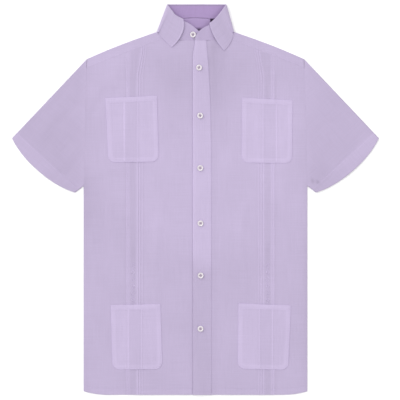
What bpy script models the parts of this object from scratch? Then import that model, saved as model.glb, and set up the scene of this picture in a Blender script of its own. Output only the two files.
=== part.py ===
"""Guayabera shirt laid flat on a table, front up.

+X is to the right as the shirt is looked down on, +Y towards the collar, +Z up.
The origin is on the table, below the middle of the shirt. Sizes are in
millimetres and become metres in one place, where a mesh is finished.

Each cut piece is one wall of cloth in its own object. Lower layers rest on the
table, the fronts lie over them, and what is sewn on a front lies over it.
"""

import math

import bmesh
import bpy
from mathutils import Vector

MM = 0.001

# Cloth
WALL = 1.0
BAND_WALL = 1.2
GAP = 0.3
LAYER = WALL + GAP

# Body outline, as half widths from the middle and heights from the origin
BODY_HALF = 235.0
HEM_Y = -410.5
HEM_FLAT_HALF = 184.0
HEM_SIDE_RISE = 7.4
UNDERARM_Y = 28.4
NECK_POINT = (78.5, 352.5)
SHOULDER_POINT = (228.3, 295.0)
SHOULDER_BOW = 2.6
BACK_SEAM_Y = 245.0
YOKE_FRONT_DROP = 18.0
YOKE_FRONT_NECK = 66.0
FRONT_NECK_Y = 334.0
FRONT_NECK_FLAT = 30.0
BACK_NECK = (
    {"x": 0.0, "y": 382.0},
    {"x": 25.0, "y": 380.4},
    {"x": 48.0, "y": 375.4},
    {"x": 64.0, "y": 367.4},
    {"x": 73.0, "y": 359.6},
    {"x": 78.5, "y": 351.1},
)

# Sleeve outline
SLEEVE_TOP_END = (385.4, 129.0)
SLEEVE_LOW_END = (253.0, 14.7)
SLEEVE_HEM_BOW = 16.0
SLEEVE_HEM_STEP = 0.4
HEM_START_TOP = 0.936
HEM_START_LOW = 0.53

# How the upper layer lies: low at seams and folds, a little higher between them
SEAM_TOP = 2 * WALL + GAP
FOLD_EXTRA = 0.7
RISE = 2.2
RISE_REACH = 22.0
FOLD_REACH = 12.0
NECK_LIFT = 2.0

# Closure, measured from the closure's centre line
CENTRE_X = 10.5
UNDER_EDGE_X = 29.0
OVER_EDGE_X = -5.5
OVER_EDGE_LEAN = 4.5
OVER_LEAN_START_Y = 296.0
OVER_STEP_X = (34.5, 39.0)

# Tucks, as distances from the closure's centre line. A crest is a tuck's folded
# edge, a foot is the cloth beside it, and each group faces away from the band
# of plain cloth between the two groups.
TUCK_HEIGHT = 0.8
TUCK_COLUMNS = (
    {"offset": 153.8, "height": 0.0, "slants": False},
    {"offset": 153.0, "height": TUCK_HEIGHT, "slants": False},
    {"offset": 149.4, "height": 0.0, "slants": False},
    {"offset": 148.6, "height": TUCK_HEIGHT, "slants": False},
    {"offset": 145.0, "height": 0.0, "slants": False},
    {"offset": 135.0, "height": 0.0, "slants": True},
    {"offset": 131.4, "height": TUCK_HEIGHT, "slants": True},
    {"offset": 130.6, "height": 0.0, "slants": True},
    {"offset": 126.1, "height": TUCK_HEIGHT, "slants": True},
    {"offset": 125.3, "height": 0.0, "slants": True},
    {"offset": 120.8, "height": TUCK_HEIGHT, "slants": True},
    {"offset": 120.0, "height": 0.0, "slants": True},
)
INNER_GROUP = 127.0
SLANT_START_Y = 261.0
SLANT_END_Y = 312.0
SLANT_TOP = 118.5
SLANT_SPREAD = 0.8

# Collar
COLLAR_TOP_X = 2.7
BAND_TOP_HALF = 60.6
BAND_TOP_Y = 407.6
BAND_LOW_HALF = 78.3
BAND_BACK_Z = 2.6
BAND_BACK_RISE = 0.6
BAND_TURN_LOW = 0.95
BAND_TURN_TOP = 3.4
LEAF_WALL = 1.0
LEAF_RISE = 1.4
LEAF_FOLD = 1.05
LEAF_FOLD_EXTRA = 0.2
LEAF_BACK_Y = 365.0
LEAF_BACK_DROP = 11.5
LEAF_HALF = 80.7
LEAF_TURN = 3.7

# Buttons
BUTTON_DIAMETER = 12.5
BUTTON_THICK = 2.6
BUTTON_HOLE = 1.8
BUTTON_HOLE_RADIUS = 1.75
PLACKET_BUTTONS = (
    {"x": 7.5, "y": 276.5},
    {"x": 9.8, "y": 176.0},
    {"x": 10.0, "y": 66.0},
    {"x": 10.5, "y": -50.0},
    {"x": 10.8, "y": -159.3},
    {"x": 10.5, "y": -271.0},
)
COLLAR_BUTTON = {"x": -5.2, "y": 346.0}

# Placket: its stitched edge from the collar down to the hem
PLACKET_STITCHED = (
    {"y": -410.5, "x": 33.5},
    {"y": 100.0, "x": 33.0},
    {"y": 209.0, "x": 31.0},
    {"y": 280.0, "x": 27.3},
    {"y": 314.0, "x": 24.2},
    {"y": 334.0, "x": 22.5},
)

POCKETS = (
    {
        "name": "pocket_chest_right",
        "top_left": (-189.0, 212.5),
        "top_right": (-81.0, 217.8),
        "low_left": (-182.5, 78.0),
        "low_right": (-77.0, 79.5),
        "corner": 15.0,
    },
    {
        "name": "pocket_chest_left",
        "top_left": (98.0, 213.8),
        "top_right": (203.9, 207.7),
        "low_left": (97.4, 77.5),
        "low_right": (202.2, 76.2),
        "corner": 14.0,
    },
    {
        "name": "pocket_lower_right",
        "top_left": (-177.9, -221.8),
        "top_right": (-73.5, -219.5),
        "low_left": (-174.0, -357.0),
        "low_right": (-69.7, -356.0),
        "corner": 16.0,
    },
    {
        "name": "pocket_lower_left",
        "top_left": (90.4, -218.2),
        "top_right": (200.3, -222.6),
        "low_left": (88.6, -355.0),
        "low_right": (194.4, -357.5),
        "corner": 15.0,
    },
)

COLOURS = {
    "lilac_cloth": (0.57, 0.47, 0.70),
    "pearl_button": (0.86, 0.85, 0.82),
    "dark_tab": (0.12, 0.07, 0.16),
}


# ---------------------------------------------------------------- finishing


def material(name):
    made = bpy.data.materials.get(name)
    if made is None:
        made = bpy.data.materials.new(name)
        made.use_nodes = True
        shader = made.node_tree.nodes["Principled BSDF"]
        shader.inputs["Base Color"].default_value = (*COLOURS[name], 1.0)
        shader.inputs["Roughness"].default_value = 0.25 if "button" in name else 0.85
        shader.inputs["Metallic"].default_value = 0.0
    return made


def finish(bm, name, colour):
    """Turns a mesh in millimetres into a named object in metres."""
    bmesh.ops.scale(bm, vec=(MM, MM, MM), verts=bm.verts)
    mesh = bpy.data.meshes.new(name)
    bm.to_mesh(mesh)
    bm.free()
    mesh.materials.append(material(colour))
    made = bpy.data.objects.new(name, mesh)
    bpy.context.scene.collection.objects.link(made)
    return made


def grid(columns, rows):
    """A bmesh grid, and a reading of a vertex's column and row."""
    bm = bmesh.new()
    bmesh.ops.create_grid(bm, x_segments=columns - 1, y_segments=rows - 1, size=1.0)

    def place(vert):
        column = round((vert.co.x + 1) / 2 * (columns - 1))
        row = round((vert.co.y + 1) / 2 * (rows - 1))
        return column, row

    return bm, place


def cloth(name, point, columns, rows, keep=None, closed=False, colour="lilac_cloth"):
    """A wall of cloth between two faces, both given by point(column, row, face).

    Face 0 is the first side, face 1 the other. A closed piece is a tube whose
    last column lies on its first.
    """
    bm, place = grid(columns, rows)
    if keep is not None:
        unused = [vert for vert in bm.verts if not keep(*place(vert))]
        bmesh.ops.delete(bm, geom=unused, context="VERTS")
    first = {vert: (*place(vert), 0) for vert in bm.verts}
    made = bmesh.ops.extrude_face_region(bm, geom=list(bm.faces), use_keep_orig=True)
    second = {
        item: (*place(item), 1) for item in made["geom"] if isinstance(item, bmesh.types.BMVert)
    }
    places = {**first, **second}
    if closed:
        ends = (0, columns - 1)
        inside = [f for f in bm.faces if any(all(places[v][0] == e for v in f.verts) for e in ends)]
        bmesh.ops.delete(bm, geom=inside, context="FACES_ONLY")
    for vert, at in places.items():
        vert.co = point(*at)
    if closed:
        bmesh.ops.remove_doubles(bm, verts=bm.verts, dist=0.001)
    bmesh.ops.recalc_face_normals(bm, faces=bm.faces)
    return finish(bm, name, colour)


def slab(name, plan, bottom, top, columns, rows, colour="lilac_cloth"):
    """A laid panel: a lower and an upper height over one plan of points."""

    def point(column, row, face):
        x, y = plan(column, row)
        return x, y, (top if face else bottom)(x, y, column)

    return cloth(name, point, columns, rows, colour=colour)


def thickened(name, point, columns, rows, wall):
    """A sheet through the middle of a wall, given its thickness by a modifier."""
    bm, place = grid(columns, rows)
    for vert in bm.verts:
        vert.co = point(*place(vert))
    made = finish(bm, name, "lilac_cloth")
    thick = made.modifiers.new("Wall", "SOLIDIFY")
    thick.thickness = wall * MM
    thick.offset = 0.0
    thick.use_even_offset = True
    thick.use_rim = True
    return made


# ---------------------------------------------------------------- plan lines


def mix(a, b, share):
    return a + (b - a) * share


def mix_point(a, b, share):
    return tuple(mix(p, q, share) for p, q in zip(a, b))


def ease(share):
    share = min(1.0, max(0.0, share))
    return share * share * (3 - 2 * share)


def look_up(rows, key, value, wanted):
    """Straight-line reading of a table whose key column rises."""
    if value <= rows[0][key]:
        return rows[0][wanted]
    for low, high in zip(rows, rows[1:]):
        if value <= high[key]:
            return mix(low[wanted], high[wanted], (value - low[key]) / (high[key] - low[key]))
    return rows[-1][wanted]


def hem_y(x):
    beyond = max(0.0, abs(x) - HEM_FLAT_HALF) / (BODY_HALF - HEM_FLAT_HALF)
    return HEM_Y + HEM_SIDE_RISE * beyond**2


def side_x(y):
    """Half width of a body panel: the side seam, then the straight armhole seam."""
    end_x, end_y = SHOULDER_POINT
    above = max(0.0, (y - UNDERARM_Y) / (end_y - UNDERARM_Y))
    return mix(BODY_HALF, end_x, above)


def shoulder_y(x):
    (neck_x, neck_y), (end_x, end_y) = NECK_POINT, SHOULDER_POINT
    share = (abs(x) - neck_x) / (end_x - neck_x)
    bow = SHOULDER_BOW * 4 * share * (1 - share) if share > 0 else 0.0
    return mix(neck_y, end_y, share) + bow


def front_top_y(x):
    """Top edge of a front: the yoke's straight front seam, then the neckline."""
    corner = shoulder_y(YOKE_FRONT_NECK) - YOKE_FRONT_DROP
    end_x, end_y = SHOULDER_POINT
    if abs(x) >= YOKE_FRONT_NECK:
        share = (abs(x) - YOKE_FRONT_NECK) / (end_x - YOKE_FRONT_NECK)
        return mix(corner, end_y - YOKE_FRONT_DROP, share)
    share = (abs(x) - FRONT_NECK_FLAT) / (YOKE_FRONT_NECK - FRONT_NECK_FLAT)
    return mix(FRONT_NECK_Y, corner, max(0.0, share))


# ---------------------------------------------------------------- how it lies


def segment_distance(point, start, end):
    start, end, point = Vector(start), Vector(end), Vector(point)
    along = end - start
    share = min(1.0, max(0.0, (point - start).dot(along) / along.length_squared))
    return (point - start - along * share).length


def grows(distance):
    return 1 - math.exp(-distance / RISE_REACH)


def upper_z(x, y):
    """Outer surface of the upper layer, without tucks or the collar's lift."""
    here = (abs(x), y)
    side = math.hypot(BODY_HALF - abs(x), max(0.0, y - UNDERARM_Y))
    underarm = segment_distance(here, (BODY_HALF, UNDERARM_Y), SLEEVE_LOW_END)
    fold = min(
        segment_distance(here, NECK_POINT, SHOULDER_POINT),
        segment_distance(here, SHOULDER_POINT, SLEEVE_TOP_END),
    )
    rise = RISE * grows(side) * grows(underarm) * grows(fold)
    return SEAM_TOP + rise + FOLD_EXTRA * math.exp(-min(fold, underarm) / FOLD_REACH)


def leaf_back_y(x):
    return LEAF_BACK_Y - LEAF_BACK_DROP * (min(abs(x), LEAF_HALF) / LEAF_HALF) ** 2


def neck_lift(x, y):
    """How far the folded-back collar holds the cloth round the neck up."""
    across = ease((LEAF_HALF + 35 - abs(x)) / 35)
    along = ease((y - leaf_back_y(x) + 30) / 28)
    return NECK_LIFT * across * along


def front_z(x, y):
    return upper_z(x, y) + neck_lift(x, y)


def over_step(x):
    """The left front lies over the right one as far as the right one reaches."""
    near, far = OVER_STEP_X
    return LAYER * (1 - ease((x - near) / (far - near)))


# ---------------------------------------------------------------- body pieces


def make_back():
    columns, rows = 13, 19
    side_rows = 12

    def plan(column, row):
        share = column / (columns - 1) * 2 - 1
        if row <= side_rows:
            y = mix(HEM_Y + HEM_SIDE_RISE, UNDERARM_Y, row / side_rows)
        else:
            up = (row - side_rows) / (rows - 1 - side_rows)
            y = mix(UNDERARM_Y, BACK_SEAM_Y - GAP, up)
        x = side_x(y) * share
        if row == 0:
            y = hem_y(x)
        return x, y

    slab("back", plan, lambda x, y, c: 0.0, lambda x, y, c: WALL, columns, rows)


def make_yoke():
    neck_halves = [row["x"] for row in BACK_NECK]
    halves = neck_halves + [88, 105, 135, 170, 202, SHOULDER_POINT[0]]
    spots = [-half for half in reversed(halves[1:])] + list(halves)
    back_rows, turn_rows, front_rows = 6, 5, 3
    rows = back_rows + turn_rows + front_rows
    neck, end = NECK_POINT[0], SHOULDER_POINT[0]
    slope = Vector(SHOULDER_POINT) - Vector(NECK_POINT)
    outward = Vector((-slope.y, slope.x)).normalized()

    def point(column, row, face):
        spot = spots[column]
        sign = -1 if spot < 0 else 1
        half = abs(spot)
        if half < neck:
            goal = Vector((half, look_up(BACK_NECK, "x", half, "y")))
        else:
            edge = Vector((half, shoulder_y(half)))
            goal = edge - outward * turn_radius(edge)
        if row < back_rows:
            share = row / back_rows
            x = mix(half, goal.x, share)
            y = mix(BACK_SEAM_Y, goal.y, share)
            return sign * x, y, neck_lift(x, y) + WALL * face
        if row < back_rows + turn_rows:
            if half < neck:
                return sign * goal.x, goal.y, neck_lift(goal.x, goal.y) + WALL * face
            middle = turn_radius(goal)
            angle = math.pi * ((row - back_rows) / (turn_rows - 1) - 0.5)
            level = neck_lift(goal.x, goal.y) + middle
            across = outward * ((middle - WALL * face) * math.cos(angle))
            lift = (middle - WALL * face) * math.sin(angle)
            return sign * (goal.x + across.x), goal.y + across.y, level + lift
        share = (row - back_rows - turn_rows + 1) / front_rows
        fraction = (half - neck) / (end - neck)
        seam_x = mix(YOKE_FRONT_NECK, end, fraction)
        seam_y = front_top_y(seam_x) + GAP / 2
        x = mix(goal.x, seam_x, share)
        y = mix(goal.y, seam_y, share)
        return sign * x, y, front_z(x, y) - WALL * face

    def turn_radius(at):
        return (front_z(at.x, at.y) - neck_lift(at.x, at.y)) / 2

    def keep(column, row):
        return row <= back_rows or abs(spots[column]) >= neck

    cloth("yoke", point, len(spots), rows, keep)


def front_columns(side):
    """A front's lines from side to centre: distance from the centre line, tuck height."""
    outer = [{"offset": offset, "height": 0.0, "slants": False} for offset in (205, 180)]
    neck = YOKE_FRONT_NECK - side * CENTRE_X
    flat = FRONT_NECK_FLAT - side * CENTRE_X
    if side < 0:
        inner = (98, neck, 58, flat, 22, 4, CENTRE_X - UNDER_EDGE_X)
    else:
        near, far = OVER_STEP_X
        inner = (98, 76, neck, far - CENTRE_X, near - CENTRE_X, flat, 5, OVER_EDGE_X - CENTRE_X)
    centre = [{"offset": offset, "height": 0.0, "slants": False} for offset in inner]
    return outer + list(TUCK_COLUMNS) + centre


def column_x(side, line, y):
    offset = line["offset"]
    if line["slants"] and y > SLANT_START_Y:
        top = SLANT_TOP + (offset - INNER_GROUP) * SLANT_SPREAD
        share = (y - SLANT_START_Y) / (SLANT_END_Y - SLANT_START_Y)
        offset = mix(offset, top, min(1.0, share))
    return CENTRE_X + side * offset


def over_edge_x(y):
    """The left front's free edge, which leans in under the collar."""
    return OVER_EDGE_X + OVER_EDGE_LEAN * ease((y - OVER_LEAN_START_Y) / (FRONT_NECK_Y - OVER_LEAN_START_Y))


def make_front(name, side):
    lines = front_columns(side)
    # The side seam takes two more lines, which follow it.
    edge_insets = (0.0, 9.0)
    columns = len(edge_insets) + len(lines)
    low_rows, high_rows = 10, 12
    rows = low_rows + high_rows + 1

    def line_x(column, y):
        if column < len(edge_insets):
            return side * (side_x(y) - edge_insets[column])
        if side > 0 and column == columns - 1:
            return over_edge_x(y)
        return column_x(side, lines[column - len(edge_insets)], y)

    def plan(column, row):
        low = hem_y(line_x(column, HEM_Y))
        high = SLANT_END_Y
        for _ in range(4):
            high = front_top_y(line_x(column, high)) - GAP / 2
        if row <= low_rows:
            y = mix(low, UNDERARM_Y, row / low_rows)
        else:
            y = mix(UNDERARM_Y, high, (row - low_rows) / high_rows)
        return line_x(column, y), y

    def height(column):
        if column < len(edge_insets):
            return 0.0
        return lines[column - len(edge_insets)]["height"]

    def base(x, y):
        return front_z(x, y) + (over_step(x) if side > 0 else 0.0)

    slab(
        name,
        plan,
        lambda x, y, column: base(x, y) - WALL,
        lambda x, y, column: base(x, y) + height(column),
        columns,
        rows,
    )


def make_placket():
    columns, rows = 4, 40

    def plan(column, row):
        y = mix(HEM_Y, FRONT_NECK_Y - GAP / 2, row / (rows - 1))
        free = over_edge_x(y)
        stitched = look_up(PLACKET_STITCHED, "y", y, "x")
        return mix(free, stitched, column / (columns - 1)), y

    def base(x, y):
        return front_z(x, y) + over_step(x)

    slab(
        "placket",
        plan,
        lambda x, y, column: base(x, y) + GAP,
        lambda x, y, column: base(x, y) + LAYER,
        columns,
        rows,
    )


def make_pocket(pocket):
    (left_x, left_y), (right_x, right_y) = pocket["top_left"], pocket["top_right"]
    (low_left_x, low_left_y), (low_right_x, low_right_y) = pocket["low_left"], pocket["low_right"]
    corner = pocket["corner"]
    side = -1 if left_x < 0 else 1
    rows = 9

    def left_side(y):
        return mix(low_left_x, left_x, (y - low_left_y) / (left_y - low_left_y))

    def right_side(y):
        return mix(low_right_x, right_x, (y - low_right_y) / (right_y - low_right_y))

    near_edges = (0.0, 1.5, 5.0, corner)
    lines = [("left", inset) for inset in near_edges]
    inside = [line for line in TUCK_COLUMNS]
    inside.sort(key=lambda line: side * line["offset"])
    low_x, high_x = left_x + corner + 4, right_x - corner - 4
    for line in inside:
        if low_x < CENTRE_X + side * line["offset"] < high_x:
            lines.append(("tuck", line))
    lines += [("right", inset) for inset in reversed(near_edges)]

    def line_x(column, y):
        kind, value = lines[column]
        if kind == "left":
            return left_side(y) + value
        if kind == "right":
            return right_side(y) - value
        return CENTRE_X + side * value["offset"]

    def low_y(column):
        kind, value = lines[column]
        share = (column / (len(lines) - 1)) if kind == "tuck" else (0 if kind == "left" else 1)
        level = mix(low_left_y, low_right_y, share)
        if kind == "tuck":
            return level
        return level + corner - math.sqrt(corner**2 - (corner - value) ** 2)

    def plan(column, row):
        top_x = line_x(column, left_y)
        top = mix(left_y, right_y, (top_x - left_x) / (right_x - left_x))
        y = mix(low_y(column), top, row / (rows - 1))
        return line_x(column, y), y

    def height(column):
        kind, value = lines[column]
        return value["height"] if kind == "tuck" else 0.0

    slab(
        pocket["name"],
        plan,
        lambda x, y, column: front_z(x, y) + height(column) + GAP,
        lambda x, y, column: front_z(x, y) + height(column) + LAYER,
        len(lines),
        rows,
    )


def make_sleeve(name, side):
    """A flattened tube: the lower layer on the table, a fold, the upper layer."""
    shares = (0.0, 0.06, 0.16, 0.32, 0.5, 0.68, 0.84, 0.94, 1.0)
    turn = 4
    body_rows, hem_rows = 8, 3
    rows = body_rows + hem_rows
    layer = len(shares)
    columns = 2 * layer + 2 * (turn - 1) + 1
    start_top = (SHOULDER_POINT[0] + GAP, SHOULDER_POINT[1])
    start_low = (BODY_HALF + GAP, UNDERARM_Y)

    def across(row, share):
        """A point on the plan, from the underarm edge to the top edge."""
        if row < body_rows:
            along = row / (body_rows - 1)
            top = mix_point(start_top, SLEEVE_TOP_END, along * HEM_START_TOP)
            low = mix_point(start_low, SLEEVE_LOW_END, along * HEM_START_LOW)
            bow = 0.0
        else:
            along = (row - body_rows + 1) / hem_rows
            top = mix_point(start_top, SLEEVE_TOP_END, mix(HEM_START_TOP, 1, along))
            low = mix_point(start_low, SLEEVE_LOW_END, mix(HEM_START_LOW, 1, along))
            bow = SLEEVE_HEM_BOW * along
        x, y = mix_point(low, top, share)
        chord = Vector(top) - Vector(low)
        out = Vector((chord.y, -chord.x)).normalized()
        bulge = bow * (1 - abs(2 * share - 1) ** 2.4)
        return x + out.x * bulge, y + out.y * bulge

    def edge(row, at_top):
        """Centre and radius of the fold at one edge, and the way it faces."""
        x, y = across(row, 1.0 if at_top else 0.0)
        inner_x, inner_y = across(row, 0.9 if at_top else 0.1)
        facing = Vector((x - inner_x, y - inner_y)).normalized()
        radius = upper_z(x, y) / 2
        return Vector((x, y)) - facing * radius, radius, facing

    def layer_point(row, share):
        low_centre, _, _ = edge(row, False)
        top_centre, _, _ = edge(row, True)
        if share == 0.0:
            return low_centre.x, low_centre.y
        if share == 1.0:
            return top_centre.x, top_centre.y
        return across(row, share)

    def point(column, row, face):
        wall = WALL * face
        column %= columns - 1
        step = SLEEVE_HEM_STEP if row >= body_rows else 0.0
        if column < layer:
            x, y = layer_point(row, shares[column])
            return side * x, y, wall
        column -= layer
        if column < turn - 1:
            return turned(row, True, -0.5 + (column + 1) / turn, wall)
        column -= turn - 1
        if column < layer:
            share = shares[layer - 1 - column]
            x, y = layer_point(row, share)
            rounding = step if 0.0 < share < 1.0 else 0.0
            return side * x, y, top_height(row, share, x, y) + rounding - wall
        column -= layer
        return turned(row, False, 0.5 - (column + 1) / turn, wall)

    def top_height(row, share, x, y):
        if share in (0.0, 1.0):
            return 2 * edge(row, share == 1.0)[1]
        return upper_z(x, y)

    def turned(row, at_top, turn_share, wall):
        centre, radius, facing = edge(row, at_top)
        angle = math.pi * turn_share
        out = facing * (radius - wall) * math.cos(angle)
        z = radius + (radius - wall) * math.sin(angle)
        return side * (centre.x + out.x), centre.y + out.y, z

    cloth(name, point, columns, rows, closed=True)


# ---------------------------------------------------------------- collar

# Front part of the band: its sewn edge by x alone, its top edge by x, y and z.
BAND_FRONT = {
    -1: (
        {"low_x": 72.5, "top_x": -51.6, "top_y": 395.3, "top_z": 9.6},
        {"low_x": 66.0, "top_x": -47.6, "top_y": 390.4, "top_z": 9.7},
        {"low_x": 52.0, "top_x": -41.0, "top_y": 383.2, "top_z": 9.8},
        {"low_x": 38.0, "top_x": -25.5, "top_y": 375.0, "top_z": 9.4},
        {"low_x": 24.0, "top_x": -12.0, "top_y": 368.4, "top_z": 8.8},
        {"low_x": 10.0, "top_x": -1.0, "top_y": 360.0, "top_z": 8.2},
        {"low_x": -2.0, "top_x": 6.0, "top_y": 354.2, "top_z": 7.9},
        {"low_x": -9.0, "top_x": 10.5, "top_y": 349.5, "top_z": 7.4},
        {"low_x": -12.5, "top_x": 12.5, "top_y": 343.5, "top_z": 6.8},
    ),
    1: (
        {"low_x": 72.5, "top_x": 56.8, "top_y": 394.4, "top_z": 9.7},
        {"low_x": 66.0, "top_x": 52.4, "top_y": 388.9, "top_z": 9.9},
        {"low_x": 54.0, "top_x": 45.3, "top_y": 380.4, "top_z": 10.1},
        {"low_x": 43.0, "top_x": 37.0, "top_y": 372.3, "top_z": 10.2},
        {"low_x": 32.0, "top_x": 29.5, "top_y": 366.2, "top_z": 10.2},
        {"low_x": 22.0, "top_x": 18.0, "top_y": 360.6, "top_z": 10.1},
        {"low_x": 12.0, "top_x": 9.5, "top_y": 354.6, "top_z": 10.0},
        {"low_x": 4.5, "top_x": 4.5, "top_y": 349.5, "top_z": 9.6},
        {"low_x": 0.5, "top_x": 0.8, "top_y": 343.0, "top_z": 9.0},
        {"low_x": -1.5, "top_x": -1.2, "top_y": 337.5, "top_z": 8.2},
    ),
}
# Free edge of the leaf's front part, with the bow of the lines that run to it.
LEAF_FRONT = {
    -1: (
        {"x": -76.9, "y": 349.4, "z": 7.7, "bow": 0.0},
        {"x": -71.8, "y": 342.2, "z": 7.2, "bow": 2.0},
        {"x": -63.5, "y": 333.4, "z": 6.8, "bow": 5.0},
        {"x": -49.6, "y": 319.8, "z": 6.4, "bow": 9.5},
    ),
    1: (
        {"x": 78.8, "y": 347.4, "z": 7.8, "bow": 0.0},
        {"x": 77.6, "y": 340.4, "z": 7.4, "bow": 1.0},
        {"x": 74.0, "y": 330.8, "z": 7.1, "bow": 2.5},
        {"x": 68.2, "y": 321.6, "z": 6.9, "bow": 4.0},
        {"x": 60.1, "y": 312.5, "z": 6.8, "bow": 5.0},
    ),
}
# Where the collar turns from back to front: angle, and how far the top edge has dropped.
TURN = (
    {"degrees": -45, "drop": 0.3},
    {"degrees": 0, "drop": 2.2},
    {"degrees": 45, "drop": 5.0},
    {"degrees": 90, "drop": 8.4},
)
OVER_BAND_LIFT = ({"x": -99.0, "lift": 2 * LAYER}, {"x": 34.5, "lift": 2 * LAYER}, {"x": 48.0, "lift": 0.0})


def band_low(side, x):
    """A point of the band's sewn edge along a front neckline."""
    signed = side * x
    lift = look_up(OVER_BAND_LIFT, "x", x, "lift") if side > 0 else 0.0
    if abs(x) > YOKE_FRONT_NECK:
        corner = Vector((YOKE_FRONT_NECK, front_top_y(YOKE_FRONT_NECK) + GAP / 2))
        fold = Vector((BACK_NECK[-1]["x"], BACK_NECK[-1]["y"]))
        share = (abs(x) - corner.x) / (fold.x - corner.x)
        y = mix(corner.y, fold.y, share) + 2 * GAP
    else:
        y = front_top_y(x) + 1.5 * GAP
    return Vector((signed, y, front_z(signed, y) - BAND_WALL / 2 + lift))


def beyond_back_neck(index):
    """A point just clear of one corner of the yoke's back neckline."""
    before = BACK_NECK[max(0, index - 1)]
    after = BACK_NECK[min(len(BACK_NECK) - 1, index + 1)]
    along = Vector((after["x"] - before["x"], after["y"] - before["y"])).normalized()
    if index == 0:
        along = Vector((1.0, 0.0))
    spot = BACK_NECK[index]
    return Vector((spot["x"] - along.y * 1.4 * GAP, spot["y"] + along.x * 1.4 * GAP))


def band_rows(side):
    """Sewn edge and top edge of the band, from the centre back to one front end."""
    rows = []
    for index, spot in enumerate(BACK_NECK[:-1]):
        share = spot["x"] / BACK_NECK[-2]["x"]
        top_x = COLLAR_TOP_X + side * share * (BAND_TOP_HALF - BAND_TURN_TOP)
        clear = beyond_back_neck(index)
        low = Vector((side * clear.x, clear.y, BAND_BACK_Z))
        rows.append((low, Vector((top_x, BAND_TOP_Y, BAND_BACK_Z + BAND_BACK_RISE))))
    turn_y = beyond_back_neck(len(BACK_NECK) - 1).y + 2.2
    for step in TURN:
        angle = math.radians(step["degrees"])
        down = (step["degrees"] + 45) / 135
        low_x = BAND_LOW_HALF - BAND_TURN_LOW * (1 - math.cos(angle))
        low_z = BAND_BACK_Z + BAND_TURN_LOW * (1 + math.sin(angle))
        top_half = BAND_TOP_HALF - BAND_TURN_TOP * (1 - math.cos(angle))
        top_z = BAND_BACK_Z + BAND_BACK_RISE * (1 - down) + BAND_TURN_TOP * (1 + math.sin(angle))
        low = Vector((side * low_x, turn_y - 1.2 * down, low_z))
        top = Vector((COLLAR_TOP_X + side * top_half, BAND_TOP_Y - step["drop"], top_z))
        rows.append((low, top))
    for row in BAND_FRONT[side]:
        top = Vector((row["top_x"], row["top_y"], row["top_z"]))
        rows.append((band_low(side, row["low_x"]), top))
    return rows


def make_band():
    right_side = band_rows(1)
    left_side = band_rows(-1)
    stations = list(reversed(left_side)) + right_side[1:]
    shares = (0.0, 0.33, 0.67, 1.0)

    def point(column, row):
        low, top = stations[column]
        return low.lerp(top, shares[row])

    thickened("collar_band", point, len(stations), len(shares), BAND_WALL)


def leaf_rows(side):
    """Points down the leaf at each of the band's stations that it covers."""
    band = band_rows(side)
    edges = []
    for spot in BACK_NECK[:-1]:
        x = spot["x"] / BACK_NECK[-2]["x"] * (LEAF_HALF - LEAF_TURN)
        edges.append((Vector((side * x, leaf_back_y(x), LEAF_WALL / 2)), 0.0))
    for step in TURN:
        angle = math.radians(step["degrees"])
        x = LEAF_HALF - LEAF_TURN * (1 - math.cos(angle))
        z = LEAF_WALL / 2 + LEAF_TURN * (1 + math.sin(angle))
        edges.append((Vector((side * x, leaf_back_y(LEAF_HALF - LEAF_TURN), z)), 0.0))
    for row in LEAF_FRONT[side]:
        edges.append((Vector((row["x"], row["y"], row["z"])), row["bow"]))
    stations = []
    for index, (edge, bow) in enumerate(edges):
        low, top = band[index]
        before = band[max(0, index - 1)][1]
        after = band[index + 1][1]
        up = (top - low).normalized()
        along = (after - before).normalized()
        out = up.cross(along) * side
        out = (out - up * out.dot(up)).normalized()
        fold = LEAF_FOLD + (LEAF_FOLD_EXTRA if index >= len(BACK_NECK) else 0.0)
        root = top + up * LEAF_RISE
        points = [top + up * 2 * GAP, root]
        for degrees in (135, 90, 45, 0):
            angle = math.radians(degrees)
            turn = out * (fold * (1 + math.cos(angle))) + up * (fold * math.sin(angle))
            points.append(root + turn)
        start = points[-1]
        for share in (0.14, 0.35, 0.6, 0.8, 1.0):
            fallen = start.lerp(edge, share)
            fallen.x -= side * bow * 4 * share * (1 - share)
            points.append(fallen)
        stations.append(points)
    return stations


def make_leaf():
    stations = list(reversed(leaf_rows(-1))) + leaf_rows(1)[1:]

    def point(column, row):
        return stations[column][row]

    thickened("collar_leaf", point, len(stations), len(stations[0]), LEAF_WALL)


def make_neck_tab():
    width, depth = 12.0, 9.0
    right_x, top_y = 43.0, 380.0
    floor = BAND_BACK_Z + BAND_WALL / 2 + GAP

    def plan(column, row):
        return right_x - width * (1 - column), top_y - depth * (1 - row)

    slab("neck_tab", plan, lambda x, y, c: floor, lambda x, y, c: floor + WALL, 2, 2, "dark_tab")


# ---------------------------------------------------------------- buttons


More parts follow.
